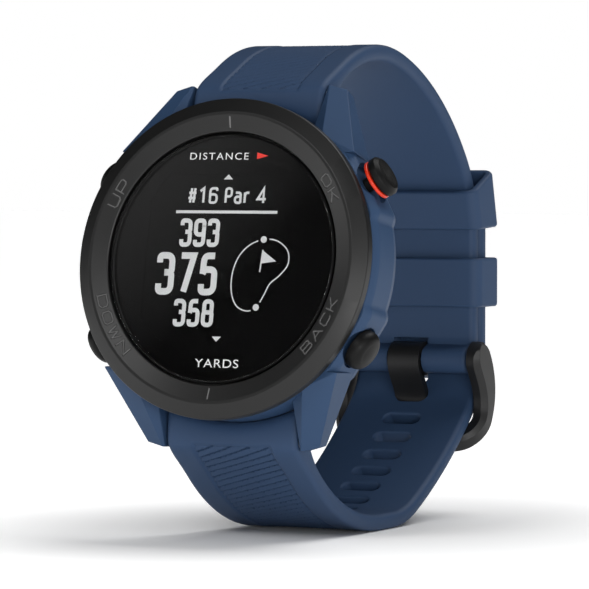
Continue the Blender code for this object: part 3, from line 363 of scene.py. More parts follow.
def moulded(name, color, roughness, drift=0.08, grain=6000.0, bump=0.004, metallic=0.0, specular=0.5):
    """A material with the moulded grain; bump is the grain's height in millimetres."""
    made, tree, shader = new_finish(name, {"Metallic": metallic, "Specular IOR Level": specular})
    grained = add_node(tree, "Group", node_tree=grain_group)
    set_inputs(grained, {
        "Color": (*color, 1), "Drift": drift, "Roughness": roughness, "Roughness Drift": 0.08,
        "Grain Size": grain})
    wire(tree, (grained, "Color", shader, "Base Color"), (grained, "Roughness", shader, "Roughness"))
    if bump:
        relief = add_node(tree, "Bump", {"Strength": 1.0, "Distance": bump * MM})
        wire(tree, (grained, "Height", relief, "Height"), (relief, "Normal", shader, "Normal"))
    made.diffuse_color = (*color, 1)
    return made


NAVY = (0.028, 0.057, 0.120)
silicone = moulded("navy_silicone", NAVY, 0.58, drift=0.10, grain=5200.0, bump=0.006, specular=0.25)


def strap_rings(points, headings, side, outer, inner, half_width, relief=None, across=97):
    """Round-edged cross-sections along a route. outer and inner are the faces' distances from the
    route, side is +1 where the outside is to the route's right, and relief sinks the outer face."""
    radius = np.minimum(STRAP_EDGE_RADIUS, 0.46 * (outer + inner))[:, None]
    flat = half_width[:, None] - radius
    spread = np.linspace(-1, 1, across)
    few = np.linspace(1, -1, 13)
    bend = np.radians(np.linspace(90, 0, 7))[None, 1:-1]
    drop = np.radians(np.linspace(0, -90, 7))[None, 1:-1]
    top, bottom = outer[:, None], -inner[:, None]
    right_x = [flat + radius * np.cos(bend), half_width[:, None], flat + radius * np.cos(drop)]
    right_o = [top - radius + radius * np.sin(bend), (top + bottom) / 2,
               bottom + radius + radius * np.sin(drop)]
    x = np.hstack([flat * spread, *right_x, flat * few, *[-part[:, ::-1] for part in right_x[::-1]]])
    sunk = np.zeros_like(flat * spread) if relief is None else relief(flat * spread)
    o = np.hstack([top - sunk, *right_o, bottom + 0 * flat * few, *[part[:, ::-1] for part in right_o[::-1]]])
    out_y, out_z = side * np.sin(headings)[:, None], -side * np.cos(headings)[:, None]
    return np.stack([x, points[:, :1] + out_y * o, points[:, 1:] + out_z * o], -1)


def smooth(low, high, value):
    """0 below low, 1 above high, and a smooth step between."""
    part = np.clip((value - low) / (high - low), 0, 1)
    return part * part * (3 - 2 * part)


def root_half_thickness(distance):
    """The roll round the bar, running out into the strap's own thickness."""
    wrap = np.sqrt(np.maximum(ROLL_RADIUS**2 - np.minimum(distance, 0) ** 2, 0.0016))
    left_over = (1 - smooth(0, ROOT_LENGTH, distance)) ** 2.2
    return np.where(distance < 0, wrap, STRAP_HALF_THICKNESS + (ROLL_RADIUS - STRAP_HALF_THICKNESS) * left_over)


def fill_to_case(rings, distance, up):
    """Moves the end of a strap half towards the round case wall, further at its sides, so that
    the gap between them stays even."""
    x = rings[..., 0]
    room = LUG_BAR[0] - ROLL_RADIUS - np.sqrt(CASE_CLEAR_RADIUS**2 - x**2)
    move = room * (1 - smooth(-ROLL_RADIUS, 0.1, distance))[:, None]
    towards = -up * np.array((math.sin(LEAN), math.cos(LEAN)))
    rings[..., 1] += towards[0] * move
    rings[..., 2] += towards[1] * move
    return rings


def ribbed_field(distance, start, end, across_first):
    """Relief of the sunk field between two distances: slanting ribs, with a fine groove around it."""
    def relief(x):
        along = distance[:, None] + 0 * x
        inside_x = FIELD_HALF_WIDTH - np.abs(x)
        inside = np.minimum(inside_x, np.minimum(along - start, end - along))
        phase = (along * math.cos(RIB_SLANT) - across_first * x * math.sin(RIB_SLANT)) / RIB_PITCH
        saw = phase - np.floor(phase)
        rib = np.where(saw < 0.72, 1 - 0.45 * (1 - saw / 0.72), 1 - np.sin((saw - 0.72) / 0.28 * math.pi))
        field = smooth(0.0, 0.18, inside) * (0.06 + RIB_DEPTH * (1 - rib))
        groove = 0.20 * np.exp(-(inside / 0.16) ** 2)
        return np.where(inside > -0.5, field + groove, 0)
    return relief


def slot_cutter(points, heading, length, width, lip):
    """A slot with round ends, flared to a lip at both faces: rings of one outline, grown and lifted."""
    turn = full_turn(32)
    lip_angle = np.radians(np.linspace(0, 90, 6))
    flare = lip * (1 - np.cos(lip_angle))
    rise = STRAP_HALF_THICKNESS - lip + lip * np.sin(lip_angle)
    grow = np.concatenate([[lip], flare[::-1], flare, [lip]])[:, None]
    lift = np.concatenate([[-SLOT_REACH], -rise[::-1], rise, [SLOT_REACH]])[:, None]
    radius = width / 2 + grow
    x = radius * np.cos(turn) + np.sign(np.cos(turn)) * (length - width) / 2
    along = radius * np.sin(turn)
    y = points[0] + math.cos(heading) * along + math.sin(heading) * lift
    z = points[1] + math.sin(heading) * along - math.cos(heading) * lift
    rings = np.stack([x, y, z], -1)
    return in_loop(rings).reshape(-1, 3), capped_faces(*rings.shape[:2])


def circle(centre, radius, count):
    turn = full_turn(count)
    return np.stack([centre[0] + radius * np.cos(turn), centre[1] + radius * np.sin(turn)], -1)


def prism(outline, axis, low, high, to_world):
    """A flat outline carried straight along the given axis, from low to high."""
    points = np.concatenate([np.insert(outline, axis, level, axis=1) for level in (low, high)])
    return to_world(points), capped_faces(2, len(outline))


def rod_along_x(centre, radius, half, count=40):
    """A plain rod across the strap, for a bore."""
    return prism(circle(centre, radius, count), 0, -half, half, in_loop)


def box_points(low, high, to_world):
    """The corners and faces of a plain block."""
    corners = np.array(np.meshgrid(*zip(low, high), indexing="ij")).reshape(3, -1).T
    faces = [(0, 1, 3, 2), (4, 6, 7, 5), (0, 4, 5, 1), (2, 3, 7, 6), (0, 2, 6, 4), (1, 5, 7, 3)]
    return to_world(corners), faces


upper_bar = case_to_loop(LUG_BAR[0], LUG_BAR[1])
lower_bar = case_to_loop(-LUG_BAR[0], LUG_BAR[1])

# The short half: from the upper bar over the top and down the back to the buckle's bar.
upper_arc_length = sum(length for length, turn in UPPER_ARCS)
arc_end, _ = follow(upper_bar, UPPER_HEADING, UPPER_ARCS, np.array([upper_arc_length]))
arc_end = arc_end[0]
upper_straight = arc_end[1] - BUCKLE_BAR[1]
upper_route = UPPER_ARCS + [(upper_straight, 0.0)]
bar_distance = upper_arc_length + upper_straight
field_from, field_to = -0.2, 31.0
root_steps = np.concatenate([
    -ROLL_RADIUS * np.sin(np.radians(np.linspace(87, 4, 16))), np.arange(0, field_to + 0.6, 0.13)])
distance = np.unique(np.concatenate([
    root_steps, np.arange(field_to + 0.6, bar_distance - 5, 0.55),
    np.linspace(bar_distance - 5, bar_distance + 2.09, 44)]).round(5))
points, headings = follow(upper_bar, UPPER_HEADING, upper_route, distance)
past = distance - bar_distance
inset = arc_end[0] - BUCKLE_BAR[0]
wrap = np.sqrt(np.maximum(BUCKLE_ROLL_RADIUS**2 - past**2, 0.0004))
root = root_half_thickness(distance)
rounded = np.sqrt(np.maximum(1 - (np.maximum(past + 0.5, 0) / 2.6) ** 2, 0.0004))
outer = np.where(past > -0.5, -inset + (inset + STRAP_HALF_THICKNESS) * rounded, root)
bulge = smooth(-3.4, -1.3, past)
inner = root * (1 - bulge) + (inset + wrap) * bulge
rings = strap_rings(
    points, headings, -1, outer, inner, np.full(distance.shape, STRAP_HALF_WIDTH),
    ribbed_field(distance, field_from, field_to, 1))
rings = fill_to_case(rings, distance, 1)
strap_upper = solid("strap_upper_half", in_loop(rings), capped_faces(*rings.shape[:2]), silicone)
cut(strap_upper, *rod_along_x(upper_bar, LUG_BAR_BORE, STRAP_HALF_WIDTH + 1))
cut(strap_upper, *rod_along_x(BUCKLE_BAR, BUCKLE_BORE, STRAP_HALF_WIDTH + 1))
cut(strap_upper, *box_points(
    (-2.8, BUCKLE_BAR[0] - 6, BUCKLE_BAR[1] - 6), (2.8, BUCKLE_BAR[0] + 6, BUCKLE_BAR[1] + 3.1), in_loop))
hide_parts("strap_upper")
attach(strap_upper, "watch")

# The long half: from the lower bar under the loop, up the back and round into the upper keeper.
lower_arc_length = sum(length for length, turn in LOWER_ARCS)
rise_start, _ = follow(lower_bar, LOWER_HEADING, LOWER_ARCS, np.array([lower_arc_length]))
tail_length = (BACK_CURVE_RADIUS + LAYER_SPACING) * math.radians(TAIL_TURN)
lower_route = LOWER_ARCS + [(arc_end[1] - rise_start[0][1], 0.0), (tail_length, TAIL_TURN)]
lower_length = sum(length for length, turn in lower_route)
distance = np.unique(np.concatenate([
    root_steps, np.arange(field_to + 0.6, lower_length - TAIL_ROUND, 0.5),
    lower_length - TAIL_ROUND * (1 - np.sin(np.radians(np.linspace(0, 90, 16))))]).round(5))
points, headings = follow(lower_bar, LOWER_HEADING, lower_route, distance)
half = root_half_thickness(distance)
tail = np.clip(1 - (lower_length - distance) / TAIL_ROUND, 0, 1)
half_width = STRAP_HALF_WIDTH - (STRAP_HALF_WIDTH - TAIL_TIP_HALF_WIDTH) * (1 - np.sqrt(1 - tail**2))
half = half * np.where(tail > 0.9, np.sqrt(np.clip(1 - ((tail - 0.9) / 0.101) ** 2, 0.02, 1)), 1)
rings = strap_rings(
    points, headings, 1, half, half, half_width, ribbed_field(distance, field_from, field_to, -1))
rings = fill_to_case(rings, distance, -1)
strap_lower = solid("strap_lower_half", in_loop(rings), capped_faces(*rings.shape[:2]), silicone)
cut(strap_lower, *rod_along_x(lower_bar, LUG_BAR_BORE, STRAP_HALF_WIDTH + 1))
cutter_points, cutter_faces = [], []
for number in range(-SLOTS_BELOW, SLOTS_ABOVE + 1):
    shift = USED_SLOT_SHIFT if number == 0 else 0
    place, angle = follow(
        lower_bar, LOWER_HEADING, lower_route, np.array([FIRST_SLOT + number * SLOT_PITCH + shift]))
    # The tongue fills the slot it goes through and hides the shorter one above it.
    length, width, lip = {0: (5.2, 2.9, 0.05), 1: (3.8, 1.6, 0.05)}.get(
        number, (SLOT_LENGTH, SLOT_WIDTH, SLOT_LIP))
    shape, faces = slot_cutter(place[0], angle[0], length, width, lip)
    first = len(shape) * len(cutter_points)
    cutter_points.append(shape)
    cutter_faces += [[index + first for index in face] for face in faces]
cut(strap_lower, np.concatenate(cutter_points), cutter_faces)
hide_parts("strap_lower")
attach(strap_lower, "watch")


# ------------------------------
# The keepers: two moulded silicone loops round both layers of the strap. The
# lower one is square and slides on the straight back of the strap; the upper
# one follows the curve above it.
KEEPER_HEIGHT = 7.2
KEEPER_WALL = 1.2
KEEPER_ROOM_X = 10.3
KEEPER_ROOM_Y = 2.9
KEEPER_EDGE = 0.42


def rounded_loop(half_x, half_y, radius, count):
    """Points and outward normals round a rectangle with round corners."""
    corner = np.radians(np.linspace(0, 90, count))
    centres = np.array([(1, 1), (-1, 1), (-1, -1), (1, -1)]) * (half_x - radius, half_y - radius)
    turns = corner[None] + np.radians([0, 90, 180, 270])[:, None]
    normals = np.stack([np.cos(turns), np.sin(turns)], -1)
    return (centres[:, None] + radius * normals).reshape(-1, 2), normals.reshape(-1, 2)


def keeper(name, node, body, to_world):
    """A loop of rounded rectangular section: the section's ring is carried round the loop.
    to_world takes x, the distance out from the strap's middle and the height along the strap."""
    path, normals = rounded_loop(KEEPER_ROOM_X + KEEPER_WALL / 2, KEEPER_ROOM_Y + KEEPER_WALL / 2, 1.1, 9)
    section, _ = rounded_loop(KEEPER_WALL / 2, KEEPER_HEIGHT / 2, KEEPER_EDGE, 5)
    x = path[:, None, 0] + normals[:, None, 0] * section[None, :, 0]
    o = path[:, None, 1] + normals[:, None, 1] * section[None, :, 0]
    h = np.broadcast_to(section[None, :, 1], x.shape)
    made = solid(name, to_world(x, o, h), grid_faces(*x.shape, True, True), silicone)
    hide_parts(node)
    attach(made, body)


keeper_middle = np.array((arc_end[0] + LAYER_SPACING / 2, arc_end[1] - 7.0))
keeper("strap_keeper_lower", "keeper_lower", "lower_keeper_body", lambda x, o, h: in_loop(
    np.stack([x, keeper_middle[0] + o, keeper_middle[1] + h], -1)))
curve_radius = BACK_CURVE_RADIUS + LAYER_SPACING / 2
curve_centre = arc_end - (BACK_CURVE_RADIUS, 0)
curve_angle = math.radians(14.0)


def on_curve(x, o, h):
    """Bends a straight keeper round the strap's curve."""
    turn, radius = curve_angle + h / curve_radius, curve_radius + o
    return in_loop(np.stack([
        x, curve_centre[0] + radius * np.cos(turn), curve_centre[1] + radius * np.sin(turn)], -1))


keeper("strap_keeper_upper", "keeper_upper", "upper_keeper_body", on_curve)


# ------------------------------
# The middle case: moulded navy plastic with a plain round wall, four faceted
# lugs for the strap and four flat bosses for the buttons. Its edges are eased.
CASE_WALL_RADIUS = 21.3
CASE_TOP, CASE_FLOOR = -2.2, -9.3
CAVITY_RADIUS = 18.1
BUTTON_AXIS_DEPTH = 5.2
BOSS_FACE = 22.3
POCKET_FLOOR = 21.4
POCKET_RADIUS = 3.1
LUG_INNER = 10.3
LUG_TIP_Y = 25.1
CASE_EDGE = 0.14

case_plastic = moulded("navy_case", (0.029, 0.061, 0.128), 0.50, drift=0.06, grain=5200.0, specular=0.20)


def eased(corners, radii, steps=5):
    """A profile with each corner replaced by an arc: the arc leaves and joins the two edges
    at equal distances from the corner. Radius 0 keeps the corner."""
    corners = [np.array(corner, float) for corner in corners]
    made = [corners[0]]
    for before, here, after, radius in zip(corners, corners[1:], corners[2:], radii[1:]):
        to_before, to_after = before - here, after - here
        a, b = np.linalg.norm(to_before), np.linalg.norm(to_after)
        if radius <= 0:
            made.append(here)
            continue
        to_before, to_after = to_before / a, to_after / b
        half_angle = math.acos(np.clip(to_before @ to_after, -1, 1)) / 2
        reach = min(radius / math.tan(half_angle), 0.49 * a, 0.49 * b)
        start, end = here + to_before * reach, here + to_after * reach
        for part in np.linspace(0, 1, steps):
            made.append((1 - part) ** 2 * start + 2 * part * (1 - part) * here + part**2 * end)
    made.append(corners[-1])
    return np.array(made)


def revolve(profile, turn):
    """A grid of points: a profile of (radius, height) at each angle about the axis."""
    radius, height = profile[None, :, 0], profile[None, :, 1]
    flat = np.stack([radius * np.cos(turn)[:, None], radius * np.sin(turn)[:, None]], -1)
    return np.concatenate([flat, np.broadcast_to(height[..., None], flat.shape[:2] + (1,))], -1)


def turned(name, profile, finish, segments=192, to_world=in_case):
    """A profile turned about an axis, closed on the axis or on itself."""
    grid = revolve(profile, full_turn(segments))
    faces = grid_faces(*grid.shape[:2], wrap_rows=True, wrap_columns=profile[:, 0].min() > 0)
    return solid(name, to_world(grid), faces, finish, 40)


def soften(piece, width, segments=2):
    """Rounds a faceted piece's edges."""
    bevel = piece.modifiers.new("soften", "BEVEL")
    bevel.width = width * MM
    bevel.segments = segments
    bevel.limit_method = "ANGLE"
    bevel.angle_limit = math.radians(12)
    bevel.harden_normals = True
    bevel.miter_outer = "MITER_ARC"


def faceted(name, corners, finish):
    """The convex solid round a few corner points."""
    bm = bmesh.new()
    for corner in in_case(corners):
        bm.verts.new(corner)
    made = bmesh.ops.convex_hull(bm, input=bm.verts)
    spare = [item for item in made["geom_interior"] + made["geom_unused"]
             if isinstance(item, bmesh.types.BMVert)]
    bmesh.ops.delete(bm, geom=spare, context="VERTS")
    bmesh.ops.dissolve_limit(bm, angle_limit=math.radians(1), verts=bm.verts, edges=bm.edges)
    bmesh.ops.recalc_face_normals(bm, faces=bm.faces)
    mesh = bpy.data.meshes.new(name)
    bm.to_mesh(mesh)
    bm.free()
    mesh.shade_smooth()
    mesh.materials.append(finish)
    return link_object(name, mesh)


BUTTONS = {"ok": 30.0, "up": 150.0, "down": 210.0, "back": -30.0}
BOSS_HALF_WIDTH, BOSS_FOOT, SIDE_SWELL = 4.2, 7.6, 0.85

wall = eased([
    (CAVITY_RADIUS, CASE_FLOOR), (CASE_WALL_RADIUS - 0.4, CASE_FLOOR), (CASE_WALL_RADIUS, CASE_FLOOR + 1.5),
    (CASE_WALL_RADIUS, CASE_TOP - 1.4), (CASE_WALL_RADIUS, CASE_TOP - 1.0), (CASE_WALL_RADIUS, CASE_TOP - 0.6),
    (CASE_WALL_RADIUS, CASE_TOP), (CAVITY_RADIUS, CASE_TOP)], [0, 0.25, 0.6, 0, 0, 0, 0.15, 0])
turn = full_turn(360)
swell = np.zeros_like(turn)
for angle in BUTTONS.values():
    off = (turn - math.radians(angle) + math.pi) % (2 * math.pi) - math.pi
    off = np.clip(off, -1, 1)
    flat = BOSS_FACE / np.cos(off) - CASE_WALL_RADIUS
    swell += flat * (1 - smooth(BOSS_HALF_WIDTH, BOSS_FOOT, np.abs(BOSS_FACE * np.tan(off))))
facing_side = np.abs((turn + math.pi / 2) % math.pi - math.pi / 2)
swell = np.maximum(swell, SIDE_SWELL * (1 - smooth(math.radians(28), math.radians(36), facing_side)))
held = np.where(wall[:, 0] > CAVITY_RADIUS + 0.1, 0.45 + 0.55 * smooth(0, 1.1, CASE_TOP - wall[:, 1]), 0)
r = wall[None, :, 0] + swell[:, None] * held[None]
h = np.broadcast_to(wall[None, :, 1], r.shape)
grid = np.stack([r * np.cos(turn)[:, None], r * np.sin(turn)[:, None], h], -1)
case_ring = solid("case_ring", in_case(grid), grid_faces(len(turn), len(wall), True, True), case_plastic, 40)
for bar in (upper_bar, lower_bar):
    cut(case_ring, *rod_along_x(bar, ROLL_RADIUS + 0.3, LUG_INNER, 64))
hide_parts("mid_case")
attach(case_ring, "watch")

for side_x, name_x in ((1, "right"), (-1, "left")):
    for side_y, name_y in ((1, "upper"), (-1, "lower")):
        corners = [
            (0, -0.1, -7.9), (0.25, -0.05, -7.65), (0, -0.4, -10.4), (2.8, -0.7, -8.0), (2.6, -1.2, -10.4),
            (0, -6.5, -4.5), (2.4, -8.04, -2.2), (7.4, -10.24, -2.2), (7.2, -10.9, -7.6), (6.0, -10.9, -9.3),
            (0.6, -10.9, -2.2), (0, -10.9, -9.3), (0, -6.0, -10.4), (2.8, -6.0, -10.4)]
        corners = [(side_x * (LUG_INNER + x), side_y * (LUG_TIP_Y + y), z) for x, y, z in corners]
        lug = faceted(f"lug_{name_y}_{name_x}", corners, case_plastic)
        soften(lug, CASE_EDGE)
        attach(lug, "watch")


def on_button(angle):
    """A frame on a button's axis: x along the rim, y out of the glass, z out of the case."""
    out = np.array((math.cos(math.radians(angle)), math.sin(math.radians(angle)), 0.0))
    along = np.array((out[1], -out[0], 0.0))

    def to_world(points):
        points = np.asarray(points, float)
        flat = points[..., :1] * along + points[..., 2:] * out
        flat[..., 2] += points[..., 1] - BUTTON_AXIS_DEPTH
        return in_case(flat)

    return to_world


for angle in BUTTONS.values():
    cut(case_ring, *prism(circle((0, 0), POCKET_RADIUS, 48), 2, POCKET_FLOOR, 26.0, on_button(angle)))
keep_faces_flat(case_ring)


# ------------------------------
# The bezel: a dark plastic ring, dished inward to the glass and chamfered
# outward. Button names and two hour marks are engraved in the dished face.
BEZEL_INNER, BEZEL_RIDGE, BEZEL_OUTER = 17.24, 19.75, 21.85
RIDGE_HEIGHT = 0.6
ENGRAVING_RADIUS = 18.42
ENGRAVING_DEPTH = 0.10
STROKE_HALF = 0.10
LETTER_HEIGHT = 1.25
MARK_ANGLES = (90, 270)
HOUR_MARK = (np.array((0, 17.75)), np.array((0, 19.15)))

bezel_plastic = moulded("bezel_black", (0.008, 0.008, 0.008), 0.40, drift=0.05, grain=5200.0, specular=0.40)

# Single-stroke letters in a box 1 wide and 1 high.
LETTERS = {
    "U": [[(0, 1), (0, 0.2), (0.2, 0), (0.8, 0), (1, 0.2), (1, 1)]],
    "P": [[(0, 0), (0, 1), (0.85, 1), (1, 0.85), (1, 0.5), (0.85, 0.35), (0, 0.35)]],
    "O": [[(0.2, 0), (0, 0.2), (0, 0.8), (0.2, 1), (0.8, 1), (1, 0.8), (1, 0.2), (0.8, 0), (0.2, 0)]],
    "K": [[(0, 0), (0, 1)], [(0, 0.45), (0.3, 0.45), (1, 1)], [(0.3, 0.5), (1, 0)]],
    "D": [[(0, 0), (0, 1), (0.75, 1), (1, 0.75), (1, 0.25), (0.75, 0), (0, 0)]],
    "W": [[(0, 1), (0.25, 0), (0.5, 0.9), (0.75, 0), (1, 1)]],
    "N": [[(0, 0), (0, 1), (1, 0), (1, 1)]],
    "B": [[(0, 0), (0, 1), (0.8, 1), (0.95, 0.85), (0.95, 0.65), (0.8, 0.52), (0, 0.52)],
          [(0.8, 0.52), (1, 0.38), (1, 0.15), (0.85, 0), (0, 0)]],
    "A": [[(0, 0), (0.5, 1), (1, 0)], [(0.2, 0.35), (0.8, 0.35)]],
    "C": [[(1, 0.9), (0.85, 1), (0.2, 1), (0, 0.8), (0, 0.2), (0.2, 0), (0.85, 0), (1, 0.1)]],
}
# Each word: the angle of its middle, which way it reads (-1 clockwise with its top outward),
# and the pitch and width of its letters.
WORDS = [("UP", 152.2, -1, 2.25, 1.6), ("OK", 31.2, -1, 2.25, 1.6),
         ("DOWN", 211.2, 1, 2.45, 1.7), ("BACK", -29.7, 1, 2.2, 1.55)]


def word_strokes(word, pitch, width):
    """Straight strokes of a word, as start and end points with the word's middle at the origin."""
    strokes = []
    for number, letter in enumerate(word):
        shift = (number - (len(word) - 1) / 2) * pitch - width / 2
        for line in LETTERS[letter]:
            scaled = np.array(line) * (width, LETTER_HEIGHT) + (shift, -LETTER_HEIGHT / 2)
            strokes += list(zip(scaled[:-1], scaled[1:]))
    return strokes


def distance_to_strokes(a, b, strokes):
    """The distance of each point to the nearest stroke."""
    nearest = np.full(a.shape, 9.0)
    for start, end in strokes:
        run = end - start
        part = np.clip(((a - start[0]) * run[0] + (b - start[1]) * run[1]) / (run @ run), 0, 1)
        nearest = np.minimum(nearest, np.hypot(a - start[0] - part * run[0], b - start[1] - part * run[1]))
    return nearest


turns = [np.radians(np.arange(0, 360, 1.5))]
for word, middle, reads, pitch, width in WORDS:
    half_span = math.degrees((len(word) * pitch / 2 + 0.2) / ENGRAVING_RADIUS)
    turns.append(np.radians(np.arange(middle - half_span, middle + half_span, 0.19) % 360))
for middle in MARK_ANGLES:
    turns.append(np.radians(np.arange(middle - 1.2, middle + 1.2, 0.1)))
turn = np.unique(np.concatenate(turns).round(5))
turn = turn[np.concatenate([[True], np.diff(turn) > 1e-3])]
dish = np.stack([np.linspace(BEZEL_INNER + 0.12, BEZEL_RIDGE - 0.45, 44),
                 np.linspace(0.03, RIDGE_HEIGHT - 0.06, 44)], -1)
shoulder = eased([
    tuple(dish[-1]), (BEZEL_RIDGE - 0.25, RIDGE_HEIGHT), (BEZEL_RIDGE + 0.15, RIDGE_HEIGHT),
    (BEZEL_OUTER - 0.05, -0.3), (BEZEL_OUTER, -0.5), (BEZEL_OUTER, -1.6), (BEZEL_OUTER - 0.3, -1.9),
    (18.04, -1.9), (18.04, -2.2), (15.89, -2.2), (15.89, -1.9), (BEZEL_INNER, -1.75),
    (BEZEL_INNER, -0.1), tuple(dish[0])],
    [0, 0.5, 0.25, 0.35, 0.2, 0.15, 0.15, 0, 0, 0, 0, 0, 0.1, 0], 4)
profile = np.vstack([dish, shoulder[1:-1]])
slope = math.atan2(dish[-1, 1] - dish[0, 1], dish[-1, 0] - dish[0, 0])
radius = np.broadcast_to(dish[None, :, 0], (len(turn), len(dish)))


def off_angle(middle):
    """How far each angle round the ring is from a middle one, in radians."""
    return np.radians((np.degrees(turn) - middle + 180) % 360 - 180)[:, None] * np.ones(radius.shape)


sink = np.zeros((len(turn), len(profile)))
for word, middle, reads, pitch, width in WORDS:
    near = distance_to_strokes(
        reads * off_angle(middle) * ENGRAVING_RADIUS, -reads * (radius - ENGRAVING_RADIUS),
        word_strokes(word, pitch, width))
    sink[:, :len(dish)] += ENGRAVING_DEPTH * (1 - smooth(STROKE_HALF * 0.5, STROKE_HALF * 1.3, near))
for middle in MARK_ANGLES:
    near = distance_to_strokes(off_angle(middle) * ENGRAVING_RADIUS, radius, [HOUR_MARK])
    sink[:, :len(dish)] += ENGRAVING_DEPTH * (1 - smooth(STROKE_HALF * 0.5, STROKE_HALF * 1.3, near))
r = profile[None, :, 0] + sink * math.sin(slope)
h = profile[None, :, 1] - sink * math.cos(slope)
grid = np.stack([r * np.cos(turn)[:, None], r * np.sin(turn)[:, None], h], -1)
bezel = solid("bezel", in_case(grid), grid_faces(len(turn), len(profile), True, True), bezel_plastic, 50)


def face_middles(piece):
    """The middle of each face: across the case, its distance from the axis, and its height."""
    middles = np.empty(len(piece.data.polygons) * 3, np.float32)
    piece.data.polygons.foreach_get("center", middles)
    x, y, z = ((middles.reshape(-1, 3) - glass_centre) / MM @ np.stack([case_x, case_y, case_z], -1)).T
    return x, np.hypot(x, y), z


# The engraved floors are a lighter grey than the moulded face, and the hour marks lighter still.
bezel.data.materials.append(moulded("letter_grey", (0.085, 0.085, 0.085), 0.45, drift=0.1))
bezel.data.materials.append(moulded("mark_grey", (0.16, 0.16, 0.16), 0.45, drift=0.1))
across, out, height = face_middles(bezel)
dish_height = dish[0, 1] + (out - dish[0, 0]) * math.tan(slope)
engraved = (height < dish_height - 0.55 * ENGRAVING_DEPTH) & (height > dish_height - 0.3) & (
    out > dish[0, 0]) & (out < dish[-1, 0])
painted = np.where(engraved, np.where(np.abs(across) < 1.0, 2, 1), 0)
bezel.data.polygons.foreach_set("material_index", painted.astype(np.int32))
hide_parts("bezel_ring")
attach(bezel, "watch")


# ------------------------------
# The glass and the display: a flat hardened glass with a ground edge, a black
# print under it that leaves an eight-sided window, and a reflective display
# with light grey figures: a hole's number and par, three distances and a green.
LENS_RADIUS, LENS_BOTTOM = 16.94, -1.4
MASK_RADIUS, MASK_LOW, MASK_HIGH = 16.7, LENS_BOTTOM - 0.14, LENS_BOTTOM - 0.10
WINDOW = [(-9.4, 11.5), (7.7, 11.6), (10.9, 8.5), (11.3, -8.3), (8.2, -11.3), (-8.7, -11.4), (-11.9, -8.3),
          (-11.9, 8.1)]
INK_HEIGHT, INK_THICKNESS = -1.68, 0.02
PRINT_HEIGHT = LENS_BOTTOM - 0.07

glass, tree, shader = new_finish("lens_glass", {
    "Base Color": (1, 1, 1, 1), "Transmission Weight": 1.0, "IOR": 1.5})
smear_place = add_node(tree, "TexCoord")
smear = add_node(tree, "TexNoise", {"Scale": 60.0})
smear_range = add_node(tree, "MapRange", {"To Min": 0.0, "To Max": 0.006})
wire(
    tree, (smear_place, "Object", smear, "Vector"), (smear, "Fac", smear_range, "Value"),
    (smear_range, "Result", shader, "Roughness"))
lens_edge = moulded("lens_edge_black_gap_shade", (0.004, 0.004, 0.004), 0.6, bump=0.0, specular=0.1)
lens = turned("front_glass", eased([
    (0, LENS_BOTTOM), (LENS_RADIUS, LENS_BOTTOM), (LENS_RADIUS, -0.2), (LENS_RADIUS - 0.2, 0), (0, 0)],
    [0, 0.05, 0.05, 0.05, 0], 3), glass)
# The glass's outer edge faces are black, and on the top chamfer this black is painted shade: the dark line of the
# gap to the bezel.
lens.data.materials.append(lens_edge)
edge_faces = face_middles(lens)[1] > LENS_RADIUS - 0.12
lens.data.polygons.foreach_set("material_index", edge_faces.astype(np.int32))
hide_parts("front_lens")
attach(lens, "watch")

print_black = moulded("print_black", (0.0014, 0.0014, 0.0014), 0.5, bump=0.0, specular=0.08)
panel_black = moulded("panel_black", (0.0020, 0.0020, 0.0020), 0.5, bump=0.0, specular=0.08)


def flat_band(name, inner, outer, low, high, finish):
    """A closed band between two outlines of the same number of points."""
    grid = np.stack([np.insert(inner, 2, low, axis=1), np.insert(outer, 2, low, axis=1),
                     np.insert(outer, 2, high, axis=1), np.insert(inner, 2, high, axis=1)])
    return solid(name, in_case(grid), grid_faces(4, len(inner), True, True), finish)


def window_outline(window, turn):
    """The window's outline walked by angle: the nearest side along each, evened out at the corners."""
    corners = np.array(window, float)
    reach = np.full(turn.shape, 99.0)
    for first, second in zip(corners, np.roll(corners, -1, axis=0)):
        run = second - first
        normal = np.array((run[1], -run[0]))
        offset = normal @ first
        if offset < 0:
            normal, offset = -normal, -offset
        facing = normal[0] * np.cos(turn) + normal[1] * np.sin(turn)
        reach = np.minimum(reach, np.where(facing > 1e-6, offset / np.maximum(facing, 1e-6), 99))
    kernel = np.hanning(9) / np.hanning(9).sum()
    reach = np.convolve(np.concatenate([reach[-4:], reach, reach[:4]]), kernel, "valid")
    return np.stack([reach * np.cos(turn), reach * np.sin(turn)], -1)


mask = flat_band("glass_print", window_outline(WINDOW, full_turn(240)), circle((0, 0), MASK_RADIUS, 240),
                 MASK_LOW, MASK_HIGH, print_black)
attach(mask, "watch")


def ink(name, color, strength):
    """Ink with a small glow, painted light that stands in for the light falling on it through the glass, with a
    fine uneven dot.
    """
    made, tree, shader = new_finish(name, {"Roughness": 0.6, "Emission Strength": strength})
    where = add_node(tree, "TexCoord")
    dots = add_node(tree, "TexNoise", {"Scale": 4000.0})
    ramp = add_node(tree, "Mix", data_type="RGBA")
    set_inputs(ramp, {"A": (*[0.93 * part for part in color], 1), "B": (*color, 1)})
    wire(
        tree, (where, "Object", dots, "Vector"), (dots, "Fac", ramp, "Factor"),
        (ramp, "Result", shader, "Base Color"), (ramp, "Result", shader, "Emission Color"))
    return made


# The display's figures and the print under the glass glow a little: painted light.
grey_ink = ink("display_ink", (0.46, 0.47, 0.47), 0.80)
white_print = ink("white_print", (0.6, 0.6, 0.6), 0.85)
red_print = ink("red_print", (0.6, 0.03, 0.02), 0.85)


